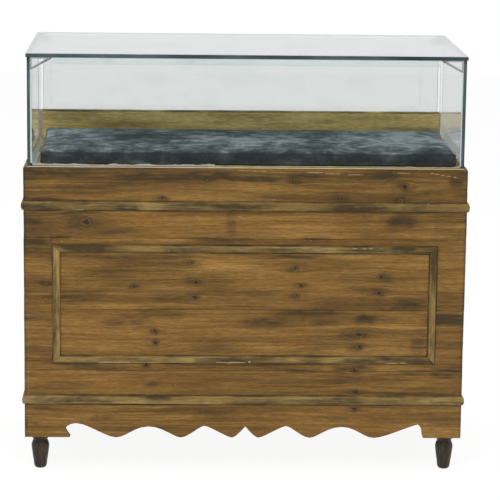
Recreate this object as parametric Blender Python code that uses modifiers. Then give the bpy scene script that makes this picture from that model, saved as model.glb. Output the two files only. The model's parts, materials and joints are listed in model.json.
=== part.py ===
"""Jewelry display cabinet: a stained pine counter base on turned feet, with a glass showcase on top."""

import math

import bmesh
import bpy
from mathutils import Matrix, Vector

for old in list(bpy.data.objects):
    bpy.data.objects.remove(old)

# Driving dimensions in metres. The front faces -Y, the staff side +Y, and the floor is Z = 0.
CLEAR = 0.0003  # gap between pieces that touch
EDGE_ROUND = 0.0012  # worn arris on boards
GLASS_ARRIS = 0.0006

# Facets round a foot, a knob or a rod, a hinge knuckle, and the end of the cam
LEG_STEPS = 24
ROD_STEPS = 20
KNUCKLE_STEPS = 16
CAM_BEND = 8

# Base
CARCASS_WIDTH = 1.200
CARCASS_DEPTH = 0.570
BASE_HEIGHT = 0.748
BOARD_THICK = 0.020
POST_SIDE = 0.040
DECK_THICK = 0.018
FLOOR_THICK = 0.018
FLOOR_RISE = 0.078  # top of the floor board above the underside of the base
SHELF_THICK = 0.018
SHELF_RISE = 0.385
HOUSING_DEPTH = 0.008  # groove in each side panel that carries the shelf
REAR_RAIL_THICK = 0.020
REAR_RAIL_HEIGHT = 0.045

# Front boards, edge to edge: the upper board fills what these three leave
APRON_HEIGHT = 0.189
LOWER_BOARD_HEIGHT = 0.171
TOP_BOARD_HEIGHT = 0.191

# Scalloped apron, whose turning points are (share of the half span, height, reach of the curve)
APRON_MIDDLE = 0.005
SCALLOPS = (
    (0.075, 0.000, 0.012),
    (0.228, 0.033, 0.013),
    (0.360, 0.000, 0.020),
    (0.540, 0.031, 0.040),
    (0.721, 0.000, 0.028),
)
CUSP_HEIGHT = 0.032
CUSP_REACH = 0.004
CURVE_STEPS = 6

# Unlike ends of the scallops: (in from the corner block's edge, height, handle before, handle after)
PEAK_BLOCK = 0.103
PEAK_KNOTS = (
    (0.000, 0.0000, (0.000, 0.000), (-0.003, 0.002)),
    (0.004, 0.0173, (0.000, -0.005), (0.000, 0.006)),
    (0.016, 0.0385, (0.005, -0.002), (-0.030, -0.007)),
)
HOOK_BLOCK = 0.112
HOOK_KNOTS = (
    (0.030, 0.0395, (0.030, 0.000), (-0.008, 0.001)),
    (0.000, 0.0240, (0.000, 0.010), (0.000, -0.006)),
    (0.012, 0.0020, (-0.004, 0.006), (0.000, 0.000)),
    (0.009, 0.0000, (0.000, 0.000), (0.000, 0.000)),
)

# Turned feet: (radius, drop below the base) down to the bulge, then (radius, height above the floor)
LEG_HEIGHT = 0.096
LEG_HEAD = (
    (0.0245, 0.004),
    (0.0192, 0.010),
    (0.0192, 0.013),
    (0.0233, 0.019),
    (0.0243, 0.025),
    (0.0238, 0.033),
)
LEG_FOOT = ((0.0176, 0.014), (0.0171, 0.009), (0.0150, 0.003), (0.0110, 0.000))
TENON_R = 0.009
TENON_LENGTH = 0.025

# Mouldings
MOULDING_HEIGHT = 0.025
MOULDING_PROJECTION = 0.006
UPPER_MOULDING_DROP = 0.102  # below the top of the base
LOWER_MOULDING_RISE = 0.1065  # above the underside of the base
PANEL_MOULDING_WIDTH = 0.020
PANEL_MOULDING_PROJECTION = 0.006
PANEL_MARGIN = 0.088
PANEL_TOP_DROP = 0.2195
PANEL_BOTTOM_RISE = 0.2207
HALF_ROUND = 2.4  # power of the superellipse
FLAT_ROUND = 3.2

# Storage doors
DOOR_THICK = 0.020
DOOR_GAP = 0.003
KNOB_PROJECTION = 0.026
KNOB_R = 0.016
KNOB_SHAPE = (
    (0.00, 1.00),
    (0.50, 0.97),
    (0.85, 0.86),
    (1.00, 0.70),
    (0.90, 0.55),
    (0.50, 0.36),
    (0.45, 0.20),
    (0.70, 0.10),
    (0.70, 0.00),
    (0.00, 0.00),
)
KNOB_INSET = 0.045  # knob centre from the door's free edge
HINGE_LENGTH = 0.070
HINGE_INSET = 0.060  # hinge end from the door's end
LEAF_THICK = 0.0012
LEAF_SETBACK = 0.004  # leaf's inner edge from the door's inner face
KNUCKLE_R = 0.004
KNUCKLES = 5
PIN_R = 0.0016
CATCH_WIDTH = 0.070
CATCH_DEPTH = 0.018
CATCH_LAP = 0.012  # reach of the catch above and below the top rail's lower edge

# Showcase glass
GLASS_INSET = 0.0107
GLASS_THICK = 0.008
GLASS_HEIGHT = 0.2935
TOP_GLASS_THICK = 0.010
TOP_OVERHANG_SIDE = 0.003
TOP_OVERHANG_ENDS = 0.006
SEAL_THICK = 0.003
STRIP_LEG = 0.019
STRIP_THICK = 0.003
BRACE_WIDTH = 0.060
BRACE_DROP = 0.034
BRACE_SHEET = 0.002
BRACE_FLANGE = 0.016

# Rear sill rail and glass flap
SILL_HEIGHT = 0.086
SILL_THICK = 0.022
SILL_INSET = 0.018
FLAP_THICK = 0.005
FLAP_LAP = 0.020
FLAP_SWING_ROOM = 0.0015  # between the turning clamp and the bracket's flange
FLAP_ABOVE_AXIS = 0.005
PULL_SHEET = 0.0015
PULL_LEG = 0.012
PULL_LENGTH = 0.080
PULL_LIP = 0.008
BRACKET_THICK = 0.004
BRACKET_REACH = 0.026
BRACKET_TAIL = 0.006
BRACKET_FLANGE = 0.0025
BRACKET_FLANGE_WIDTH = 0.016
BRACKET_BELOW = 0.008
CLAMP_WALL = 0.002
CLAMP_CHEEK = 0.0025
CLAMP_GRIP = 0.022
CLAMP_ABOVE = 0.007
CLAMP_BELOW = 0.012
FLAP_PIN_R = 0.002

# Lock
LOCK_X = 0.120
LOCK_DROP = 0.014  # lock's nose below the flap's lower edge
LOCK_R = 0.0095
LOCK_NOSE_R = 0.012
PLUG_R = 0.005
PLUG_LENGTH = 0.015
CAM_LENGTH = 0.036
CAM_WIDTH = 0.012
CAM_THICK = 0.002
CAM_RUN = 0.001  # running gap between the cam and the flap
KEY_FACE_R = 0.0045
KEY_FACE_THICK = 0.0015
KEY_SLOT_LENGTH = 0.0054
KEY_SLOT_WIDTH = 0.0011
KEY_SLOT_DEPTH = 0.0010

# Velvet pad
PAD_HEIGHT = 0.042
PAD_CROWN = 0.003
PAD_DRAW_IN = 0.004
PAD_SOFT_EDGE = 0.014
PAD_FRONT_GAP = 0.036
PAD_REAR_GAP = 0.014
PAD_SIDE_GAP = 0.012
PAD_SHIFT = 0.008  # the loose pad sits a little to the right
PAD_CUTS = 5

# Levels and faces that follow from the driving dimensions
TOTAL_DEPTH = MOULDING_PROJECTION + CARCASS_DEPTH + KNOB_PROJECTION + 2 * CLEAR
FRONT = -TOTAL_DEPTH / 2 + MOULDING_PROJECTION + CLEAR
REAR = FRONT + CARCASS_DEPTH
UNDER = LEG_HEIGHT
TOP = UNDER + BASE_HEIGHT
HALF = CARCASS_WIDTH / 2
SIDE_IN = HALF - BOARD_THICK
POST_IN = SIDE_IN - CLEAR - POST_SIDE
POST_MID = POST_IN + POST_SIDE / 2
INSIDE = FRONT + BOARD_THICK + CLEAR
DECK_UNDER = TOP - DECK_THICK
RAIL_UNDER = DECK_UNDER - CLEAR - REAR_RAIL_HEIGHT
FLOOR_TOP = UNDER + FLOOR_RISE
SHELF_TOP = UNDER + SHELF_RISE
HINGE_GAP = 3 * CLEAR + 2 * LEAF_THICK
HINGE_X = POST_IN - HINGE_GAP / 2
HINGE_Y = REAR + KNUCKLE_R + CLEAR
DOOR_LOW = FLOOR_TOP + DOOR_GAP
DOOR_HIGH = RAIL_UNDER - DOOR_GAP
PANE_LOW = TOP + 2 * CLEAR + SEAL_THICK
PANE_HIGH = PANE_LOW + GLASS_HEIGHT
CASE_TOP = PANE_HIGH + CLEAR
CASE_HALF = HALF - GLASS_INSET - GLASS_THICK
CASE_FRONT = FRONT + GLASS_INSET + GLASS_THICK
PANE_REAR = REAR - GLASS_INSET
SILL_REAR = REAR - SILL_INSET
SILL_FRONT = SILL_REAR - SILL_THICK
SILL_TOP = TOP + CLEAR + SILL_HEIGHT
FLAP_FRONT = SILL_REAR + 2 * CLEAR + PULL_SHEET
FLAP_REAR = FLAP_FRONT + FLAP_THICK
FLAP_Y = (FLAP_FRONT + FLAP_REAR) / 2
CLAMP_HALF = FLAP_THICK / 2 + CLEAR + CLAMP_CHEEK
FLAP_AXIS_DROP = CLEAR + BRACKET_FLANGE + FLAP_SWING_ROOM + math.hypot(CLAMP_ABOVE, CLAMP_HALF)
FLAP_Z = CASE_TOP - FLAP_AXIS_DROP
FLAP_LOW = SILL_TOP - FLAP_LAP
FLAP_HALF = CASE_HALF - BRACKET_THICK - CLAMP_WALL - 3 * CLEAR
LOCK_Z = FLAP_LOW - LOCK_DROP - LOCK_NOSE_R
CAM_FRONT = FLAP_REAR + CAM_RUN

X, Y, Z = Vector((1, 0, 0)), Vector((0, 1, 0)), Vector((0, 0, 1))
SIDES = (("left", -1), ("right", 1))


def collection(name):
    made = bpy.data.collections.new(name)
    bpy.context.scene.collection.children.link(made)
    return made


PARTS = collection("jewelry_display_cabinet")
TOOLS = collection("cutters")


def material(name, colour, roughness, metallic=0.0, transmission=0.0):
    made = bpy.data.materials.new(name)
    made.use_nodes = True
    shader = made.node_tree.nodes["Principled BSDF"]
    shader.inputs["Base Color"].default_value = (*colour, 1.0)
    shader.inputs["Roughness"].default_value = roughness
    shader.inputs["Metallic"].default_value = metallic
    shader.inputs["Transmission Weight"].default_value = transmission
    return made


PINE = material("stained_pine", (0.20, 0.105, 0.035), 0.55)
OLIVE = material("olive_stained_moulding", (0.17, 0.12, 0.045), 0.5)
PLAIN_PINE = material("plain_pine", (0.42, 0.27, 0.12), 0.6)
SILL_LOOK = material("olive_sill", (0.20, 0.17, 0.07), 0.5)
FOOT_LOOK = material("dark_turned_wood", (0.035, 0.028, 0.02), 0.45)
GLASS = material("clear_glass", (0.86, 0.93, 0.90), 0.02, 0.0, 1.0)
VELVET = material("grey_green_velvet", (0.075, 0.10, 0.10), 0.9)
NICKEL = material("nickel", (0.66, 0.65, 0.61), 0.25, 1.0)
BRASS = material("aged_brass", (0.45, 0.33, 0.15), 0.35, 1.0)
ACRYLIC = material("clear_acrylic", (0.85, 0.88, 0.88), 0.08, 0.0, 0.9)
SEAL = material("pale_seal", (0.72, 0.70, 0.62), 0.5)
CATCH_LOOK = material("catch_plastic", (0.12, 0.08, 0.05), 0.5)


def pivot(name, place, parent=None):
    """An empty that carries a body, on its joint's axis where the body moves."""
    empty = bpy.data.objects.new(name, None)
    PARTS.objects.link(empty)
    empty.parent = parent
    empty.location = Vector(place) - (parent.location if parent else Vector())
    return empty


CABINET = pivot("cabinet", (0, 0, 0))
FLAP = pivot("flap_pivot", (0, FLAP_Y, FLAP_Z), CABINET)
LOCK = pivot("lock_pivot", (LOCK_X, CAM_FRONT, LOCK_Z), CABINET)
DOORS = {}
for door_side, door_sign in SIDES:
    DOORS[door_side] = pivot(f"{door_side}_door_pivot", (door_sign * HINGE_X, HINGE_Y, UNDER), CABINET)


def settle(obj, place, look, parent, edge=0.0):
    """Links a finished piece under its body's empty, with its material and its rounded edges."""
    PARTS.objects.link(obj)
    obj.parent = parent
    obj.location = Vector(place) - parent.location
    obj.data.materials.clear()
    obj.data.materials.append(look)
    if edge:
        bevel = obj.modifiers.new("edges", "BEVEL")
        bevel.width = edge
        bevel.segments = 1
    return obj


def block_object(name, low, high):
    size = Vector(high) - Vector(low)
    shape = bmesh.new()
    bmesh.ops.create_cube(shape, size=1.0)
    bmesh.ops.scale(shape, vec=size, verts=shape.verts)
    mesh = bpy.data.meshes.new(name)
    shape.to_mesh(mesh)
    shape.free()
    return bpy.data.objects.new(name, mesh)


def block(name, low, high, look, parent=CABINET, edge=0.0):
    middle = (Vector(low) + Vector(high)) / 2
    return settle(block_object(name, low, high), middle, look, parent, edge)


def axes(across, up):
    """The turn that lays a flat outline's own X along across and its own Y along up."""
    return Matrix((across, up, across.cross(up))).transposed().to_4x4()


def outline_curve(name, points, thickness):
    """A flat outline with straight sides, extruded to its thickness."""
    curve = bpy.data.curves.new(name, "CURVE")
    curve.dimensions = "2D"
    curve.fill_mode = "BOTH"
    curve.extrude = thickness / 2
    line = curve.splines.new("POLY")
    line.points.add(len(points) - 1)
    for point, (x, y) in zip(line.points, points):
        point.co = (x, y, 0, 1)
    line.use_cyclic_u = True
    return curve


def meshed(curve, name, turn):
    """The curve's solid as a welded mesh, turned into place about its own origin."""
    holder = bpy.data.objects.new(name, curve)
    bpy.context.scene.collection.objects.link(holder)
    graph = bpy.context.evaluated_depsgraph_get()
    mesh = bpy.data.meshes.new_from_object(holder.evaluated_get(graph))
    bpy.data.objects.remove(holder)
    bpy.data.curves.remove(curve)
    shape = bmesh.new()
    shape.from_mesh(mesh)
    bmesh.ops.remove_doubles(shape, verts=shape.verts, dist=CLEAR / 10)
    bmesh.ops.transform(shape, matrix=turn, verts=shape.verts)
    bmesh.ops.recalc_face_normals(shape, faces=shape.faces)
    shape.to_mesh(mesh)
    shape.free()
    return bpy.data.objects.new(name, mesh)


def plate(name, points, thickness, across, up, place, look, parent=CABINET, edge=0.0):
    obj = meshed(outline_curve(name, points, thickness), name, axes(across, up))
    return settle(obj, place, look, parent, edge)


def tool(obj, place):
    """A cutter or a shape to be joined on, left out of the model itself."""
    TOOLS.objects.link(obj)
    obj.location = place
    obj.hide_render = True
    obj.display_type = "WIRE"
    return obj


def tool_block(name, low, high):
    return tool(block_object(name, low, high), (Vector(low) + Vector(high)) / 2)


def tool_rod(name, place, along, radius, length, segments=ROD_STEPS):
    shape = bmesh.new()
    bmesh.ops.create_cone(
        shape, cap_ends=True, segments=segments, radius1=radius, radius2=radius, depth=length
    )
    turn = Z.rotation_difference(along).to_matrix().to_4x4()
    bmesh.ops.transform(shape, matrix=turn, verts=shape.verts)
    mesh = bpy.data.meshes.new(name)
    shape.to_mesh(mesh)
    shape.free()
    return tool(bpy.data.objects.new(name, mesh), place)


def boolean(obj, operation, *others):
    for other in others:
        step = obj.modifiers.new(other.name, "BOOLEAN")
        step.operation = operation
        step.object = other
    return obj


def turned(name, profile, look, parent, place, along=Z, steps=LEG_STEPS, ring=False):
    """A profile of (radius, height) from top to bottom on its outer side, spun about its own Z."""
    verts = [(radius, 0, height) for radius, height in profile]
    edges = [(i, i + 1) for i in range(len(verts) - 1)]
    if ring:
        edges.append((len(verts) - 1, 0))
    mesh = bpy.data.meshes.new(name)
    mesh.from_pydata(verts, edges, [])
    obj = settle(bpy.data.objects.new(name, mesh), place, look, parent)
    obj.rotation_euler = Z.rotation_difference(along).to_euler()
    spin = obj.modifiers.new("turning", "SCREW")
    spin.steps = steps
    spin.render_steps = steps
    spin.use_merge_vertices = True
    spin.merge_threshold = 0.00005
    spin.use_smooth_shade = True
    return obj


def front_boards():
    top_low = TOP - TOP_BOARD_HEIGHT
    lower_low = UNDER + APRON_HEIGHT
    upper_low = lower_low + LOWER_BOARD_HEIGHT
    for name, low, high in (
        ("front_board_lower", lower_low, upper_low - CLEAR),
        ("front_board_upper", upper_low, top_low - CLEAR),
        ("front_board_top", top_low, TOP),
    ):
        block(name, (-HALF, FRONT, low), (HALF, FRONT + BOARD_THICK, high), PINE, edge=EDGE_ROUND)


def apron_points():
    """Outline of the apron as (x, z, handle before, handle after), from its upper right corner downwards."""
    straight = (0, 0)
    top = APRON_HEIGHT - CLEAR
    half_span = HALF - (PEAK_BLOCK + HOOK_BLOCK) / 2
    points = [(HALF, top, straight, straight), (HALF, 0, straight, straight)]
    for inwards, height, before, after in PEAK_KNOTS:
        points.append((HALF - PEAK_BLOCK - inwards, height, before, after))
    for share, height, reach in reversed(SCALLOPS):
        points.append((APRON_MIDDLE + share * half_span, height, (reach, 0), (-reach, 0)))
    points.append((APRON_MIDDLE, CUSP_HEIGHT, (CUSP_REACH, -CUSP_REACH), (-CUSP_REACH, -CUSP_REACH)))
    for share, height, reach in SCALLOPS:
        points.append((APRON_MIDDLE - share * half_span, height, (reach, 0), (-reach, 0)))
    for inwards, height, before, after in HOOK_KNOTS:
        points.append((HOOK_BLOCK + inwards - HALF, height, before, after))
    points += [(-HALF, 0, straight, straight), (-HALF, top, straight, straight)]
    return points


def apron():
    curve = bpy.data.curves.new("front_apron", "CURVE")
    curve.dimensions = "2D"
    curve.fill_mode = "BOTH"
    curve.extrude = BOARD_THICK / 2
    curve.resolution_u = CURVE_STEPS
    line = curve.splines.new("BEZIER")
    points = apron_points()
    line.bezier_points.add(len(points) - 1)
    for knot, (x, z, before, after) in zip(line.bezier_points, points):
        knot.handle_left_type = knot.handle_right_type = "FREE"
        knot.co = (x, z, 0)
        knot.handle_left = (x + before[0], z + before[1], 0)
        knot.handle_right = (x + after[0], z + after[1], 0)
    line.use_cyclic_u = True
    obj = meshed(curve, "front_apron", axes(X, Z))
    settle(obj, (0, FRONT + BOARD_THICK / 2, UNDER), PINE, CABINET)


def side_panels():
    for side, sign in SIDES:
        inner, outer = sorted((sign * SIDE_IN, sign * HALF))
        panel = block(
            f"{side}_side_panel", (inner, INSIDE, UNDER), (outer, REAR, TOP), PINE, edge=EDGE_ROUND
        )
        near, far = sorted((sign * (SIDE_IN - HOUSING_DEPTH), sign * (SIDE_IN + HOUSING_DEPTH)))
        housing = tool_block(
            f"{side}_housing",
            (near, INSIDE + POST_SIDE, SHELF_TOP - SHELF_THICK - CLEAR),
            (far, REAR - POST_SIDE, SHELF_TOP + CLEAR),
        )
        boolean(panel, "DIFFERENCE", housing)


def leg_profile():
    """Radius and height of a foot from the top of its tenon down to the floor, about the base's underside."""
    tenon = [(0, TENON_LENGTH), (TENON_R, TENON_LENGTH), (TENON_R, -CLEAR), (LEG_HEAD[0][0], -CLEAR)]
    head = [(radius, -drop) for radius, drop in LEG_HEAD]
    foot = [(radius, height - LEG_HEIGHT) for radius, height in LEG_FOOT]
    return tenon + head + foot + [(0, -LEG_HEIGHT)]


def posts_and_feet():
    ends = (("front", INSIDE), ("rear", REAR - POST_SIDE))
    for end, low_y in ends:
        for side, sign in SIDES:
            middle = Vector((sign * POST_MID, low_y + POST_SIDE / 2, UNDER))
            half = Vector((POST_SIDE / 2, POST_SIDE / 2, 0))
            high = middle + half
            high.z = DECK_UNDER - CLEAR
            post = block(f"{end}_{side}_post", middle - half, high, PLAIN_PINE)
            bore = tool_rod(
                f"{end}_{side}_tenon_bore", middle, Z, TENON_R + CLEAR, 2 * (TENON_LENGTH + CLEAR)
            )
            boolean(post, "DIFFERENCE", bore)
            turned(f"{end}_{side}_leg", leg_profile(), FOOT_LOOK, CABINET, middle)


def notched_board(half_width, front, rear, notch):
    """Plan of a board that passes between the four posts, notched at its corners."""
    front_notch, rear_notch = INSIDE + POST_SIDE + CLEAR, REAR - POST_SIDE - CLEAR
    right = [
        (notch, front),
        (notch, front_notch),
        (half_width, front_notch),
        (half_width, rear_notch),
        (notch, rear_notch),
        (notch, rear),
    ]
    return right + [(-x, y) for x, y in reversed(right)]


def boards_inside():
    reach = SIDE_IN - CLEAR
    notch = POST_IN - CLEAR
    block("deck_board", (-reach, INSIDE, DECK_UNDER), (reach, REAR, TOP), PLAIN_PINE)
    floor = notched_board(reach, INSIDE, REAR - REAR_RAIL_THICK - CLEAR, notch)
    plate("floor_board", floor, FLOOR_THICK, X, Y, (0, 0, FLOOR_TOP - FLOOR_THICK / 2), PLAIN_PINE)
    housed = SIDE_IN + HOUSING_DEPTH - CLEAR
    shelf = notched_board(housed, INSIDE, REAR - DOOR_THICK - CLEAR, notch)
    plate("storage_shelf", shelf, SHELF_THICK, X, Y, (0, 0, SHELF_TOP - SHELF_THICK / 2), PLAIN_PINE)
    for name, low, high in (
        ("rear_top_rail", RAIL_UNDER, DECK_UNDER - CLEAR),
        ("rear_bottom_rail", UNDER, FLOOR_TOP),
    ):
        block(name, (-notch, REAR - REAR_RAIL_THICK, low), (notch, REAR, high), PINE, edge=EDGE_ROUND)


def rounded_section(width, projection, power, steps=10):
    """Half of a superellipse, flat on its back: power 2 is a plain half round, more is flatter."""
    points = []
    for i in range(steps + 1):
        turn = math.pi * i / steps
        across = math.copysign(abs(math.cos(turn)) ** (2 / power), math.cos(turn))
        points.append((width / 2 * across, projection * math.sin(turn) ** (2 / power)))
    return points


def moulding(name, section, length, across, out, place, mitres):
    """A length of moulding along across x out, cut back at each mitre's plane (point, way out)."""
    obj = meshed(outline_curve(name, section, length), name, axes(across, out))
    shape = bmesh.new()
    shape.from_mesh(obj.data)
    for point, way in mitres:
        cut = bmesh.ops.bisect_plane(
            shape,
            geom=shape.verts[:] + shape.edges[:] + shape.faces[:],
            plane_co=Vector(point) - Vector(place) - way.normalized() * CLEAR / 2,
            plane_no=way,
            clear_outer=True,
        )
        rim = [e for e in cut["geom_cut"] if isinstance(e, bmesh.types.BMEdge)]
        bmesh.ops.contextual_create(shape, geom=rim)
    bmesh.ops.recalc_face_normals(shape, faces=shape.faces)
    shape.to_mesh(obj.data)
    shape.free()
    return settle(obj, place, OLIVE, CABINET)


def base_mouldings():
    section = rounded_section(MOULDING_HEIGHT, MOULDING_PROJECTION, HALF_ROUND)
    spare = 4 * MOULDING_PROJECTION
    for name, z in (("upper", TOP - UPPER_MOULDING_DROP), ("lower", UNDER + LOWER_MOULDING_RISE)):
        mitres = [(Vector((sign * HALF, FRONT, z)), Vector((sign, 1, 0))) for _, sign in SIDES]
        moulding(
            f"{name}_moulding_front", section, CARCASS_WIDTH + spare, Z, -Y, (0, FRONT - CLEAR, z), mitres
        )
        for side, sign in SIDES:
            corner = Vector((sign * HALF, FRONT, z))
            ends = [(corner, Vector((-sign, -1, 0))), (Vector((corner.x, REAR, z)), Y)]
            place = (sign * (HALF + CLEAR), (FRONT + REAR) / 2, z)
            moulding(
                f"{name}_moulding_{side}", section, CARCASS_DEPTH + spare, Z, sign * X, place, ends
            )


def panel_mouldings():
    section = rounded_section(PANEL_MOULDING_WIDTH, PANEL_MOULDING_PROJECTION, FLAT_ROUND)
    half_width = HALF - PANEL_MARGIN
    top, bottom = TOP - PANEL_TOP_DROP, UNDER + PANEL_BOTTOM_RISE
    middle = (top + bottom) / 2
    face = FRONT - CLEAR
    spare = 3 * PANEL_MOULDING_WIDTH
    for name, z, way in (("top", top, -1), ("bottom", bottom, 1)):
        mitres = [(Vector((sign * half_width, face, z)), Vector((sign, 0, way))) for _, sign in SIDES]
        moulding(
            f"panel_moulding_{name}", section, 2 * half_width + spare, Z, -Y, (0, face, z), mitres
        )
    for side, sign in SIDES:
        x = sign * half_width
        mitres = [
            (Vector((x, face, top)), Vector((-sign, 0, 1))),
            (Vector((x, face, bottom)), Vector((-sign, 0, -1))),
        ]
        moulding(
            f"panel_moulding_{side}", section, top - bottom + spare, X, -Y, (x, face, middle), mitres
        )


def hinge_leaf(name, side, sign, low, moving):
    """One leaf of a butt hinge: its plate lies in the gap beside the door, its knuckles stand behind it."""
    layers = 2 if moving else 1
    near = POST_IN - layers * (CLEAR + LEAF_THICK)
    x_low, x_high = sorted((sign * near, sign * (near + LEAF_THICK)))
    parent = DOORS[side] if moving else CABINET
    leaf = block(
        name,
        (x_low, REAR - DOOR_THICK + LEAF_SETBACK, low),
        (x_high, REAR - CLEAR, low + HINGE_LENGTH),
        BRASS,
        parent,
    )
    step = HINGE_LENGTH / KNUCKLES
    first = 1 if moving else 0
    for i in range(first, KNUCKLES, 2):
        start, end = low + i * step + CLEAR / 2, low + (i + 1) * step - CLEAR / 2
        middle = (start + end) / 2
        tab = tool_block(f"{name}_tab_{i}", (x_low, REAR - 2 * CLEAR, start), (x_high, HINGE_Y, end))
        axis_point = (sign * HINGE_X, HINGE_Y, middle)
        knuckle = tool_rod(
            f"{name}_knuckle_{i}", axis_point, Z, KNUCKLE_R, end - start, KNUCKLE_STEPS
        )
        boolean(leaf, "UNION", tab, knuckle)
    pin_middle = (sign * HINGE_X, HINGE_Y, low + HINGE_LENGTH / 2)
    if moving:
        bore = tool_rod(f"{name}_bore", pin_middle, Z, PIN_R + CLEAR, 2 * HINGE_LENGTH, KNUCKLE_STEPS)
        boolean(leaf, "DIFFERENCE", bore)
    else:
        pin = tool_rod(f"{name}_pin", pin_middle, Z, PIN_R, HINGE_LENGTH - step, KNUCKLE_STEPS)
        boolean(leaf, "UNION", pin)


def doors():
    knob = [(KNOB_R * radius, KNOB_PROJECTION * height) for radius, height in KNOB_SHAPE]
    for side, sign in SIDES:
        near, far = sorted((sign * DOOR_GAP / 2, sign * (POST_IN - HINGE_GAP)))
        low = (near, REAR - DOOR_THICK, DOOR_LOW)
        block(f"{side}_door", low, (far, REAR, DOOR_HIGH), PINE, DOORS[side], EDGE_ROUND)
        knob_x = sign * (DOOR_GAP / 2 + KNOB_INSET)
        place = (knob_x, REAR + CLEAR, (DOOR_LOW + DOOR_HIGH) / 2)
        turned(f"{side}_door_knob", knob, FOOT_LOOK, DOORS[side], place, Y, ROD_STEPS)
        heights = (("lower", DOOR_LOW + HINGE_INSET), ("upper", DOOR_HIGH - HINGE_INSET - HINGE_LENGTH))
        for level, start in heights:
            hinge_leaf(f"{side}_{level}_hinge_post_leaf", side, sign, start, False)
            hinge_leaf(f"{side}_{level}_hinge_door_leaf", side, sign, start, True)
    rear = REAR - max(REAR_RAIL_THICK, DOOR_THICK) - CLEAR
    block(
        "door_catch",
        (-CATCH_WIDTH / 2, rear - CATCH_DEPTH, RAIL_UNDER - CATCH_LAP),
        (CATCH_WIDTH / 2, rear, RAIL_UNDER + CATCH_LAP),
        CATCH_LOOK,
        edge=EDGE_ROUND,
    )


def panes():
    outer = HALF - GLASS_INSET
    block(
        "front_glass",
        (-outer, FRONT + GLASS_INSET, PANE_LOW),
        (outer, CASE_FRONT, PANE_HIGH),
        GLASS,
        edge=GLASS_ARRIS,
    )
    for side, sign in SIDES:
        low_x, high_x = sorted((sign * CASE_HALF, sign * outer))
        low = (low_x, CASE_FRONT + CLEAR, PANE_LOW)
        block(f"{side}_glass", low, (high_x, PANE_REAR, PANE_HIGH), GLASS, edge=GLASS_ARRIS)
    reach = outer + TOP_OVERHANG_SIDE
    block(
        "top_glass",
        (-reach, FRONT + GLASS_INSET - TOP_OVERHANG_ENDS, CASE_TOP),
        (reach, PANE_REAR + TOP_OVERHANG_ENDS, CASE_TOP + TOP_GLASS_THICK),
        GLASS,
        edge=GLASS_ARRIS,
    )
    front = FRONT + GLASS_INSET
    seal = [(outer, front), (outer, PANE_REAR), (CASE_HALF, PANE_REAR), (CASE_HALF, CASE_FRONT)]
    seal += [(-x, y) for x, y in reversed(seal)]
    plate("glass_seal", seal, SEAL_THICK, X, Y, (0, 0, TOP + CLEAR + SEAL_THICK / 2), SEAL)


def top_joint():
    """The clear strip in the top front joint and the corner brace at each end of it."""
    strip_half = CASE_HALF - BRACE_WIDTH - 2 * CLEAR
    strip = [
        (0, 0),
        (STRIP_LEG, 0),
        (STRIP_LEG, -STRIP_THICK),
        (STRIP_THICK, -STRIP_THICK),
        (STRIP_THICK, -STRIP_LEG),
        (0, -STRIP_LEG),
    ]
    corner = (0, CASE_FRONT + CLEAR, CASE_TOP - CLEAR)
    plate("joint_strip", strip, 2 * strip_half, Y, Z, corner, ACRYLIC)
    angle = [
        (0, 0),
        (-BRACE_WIDTH, 0),
        (-BRACE_WIDTH, -BRACE_SHEET),
        (-BRACE_SHEET, -BRACE_SHEET),
        (-BRACE_SHEET, -BRACE_DROP),
        (0, -BRACE_DROP),
    ]
    web = [
        (-BRACE_SHEET / 2, -BRACE_SHEET / 2),
        (-BRACE_WIDTH + BRACE_SHEET / 2, -BRACE_SHEET / 2),
        (-BRACE_SHEET / 2, -BRACE_DROP + BRACE_SHEET / 2),
    ]
    for side, sign in SIDES:
        place = Vector((sign * (CASE_HALF - CLEAR), CASE_FRONT + CLEAR + BRACE_FLANGE / 2, CASE_TOP - CLEAR))
        brace = plate(f"{side}_corner_brace", angle, BRACE_FLANGE, sign * X, Z, place, NICKEL)
        web_place = place - Y * (BRACE_FLANGE / 2 - BRACE_SHEET)
        web_mesh = meshed(outline_curve("web", web, BRACE_SHEET), f"{side}_web", axes(sign * X, Z))
        boolean(brace, "UNION", tool(web_mesh, web_place))


def sill():
    rail = block(
        "rear_sill_rail",
        (CLEAR - CASE_HALF, SILL_FRONT, TOP + CLEAR),
        (CASE_HALF - CLEAR, SILL_REAR, SILL_TOP),
        SILL_LOOK,
        edge=EDGE_ROUND,
    )
    middle = (LOCK_X, (SILL_FRONT + SILL_REAR) / 2, LOCK_Z)
    boolean(rail, "DIFFERENCE", tool_rod("lock_bore", middle, Y, LOCK_R + CLEAR, 2 * SILL_THICK))


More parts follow.
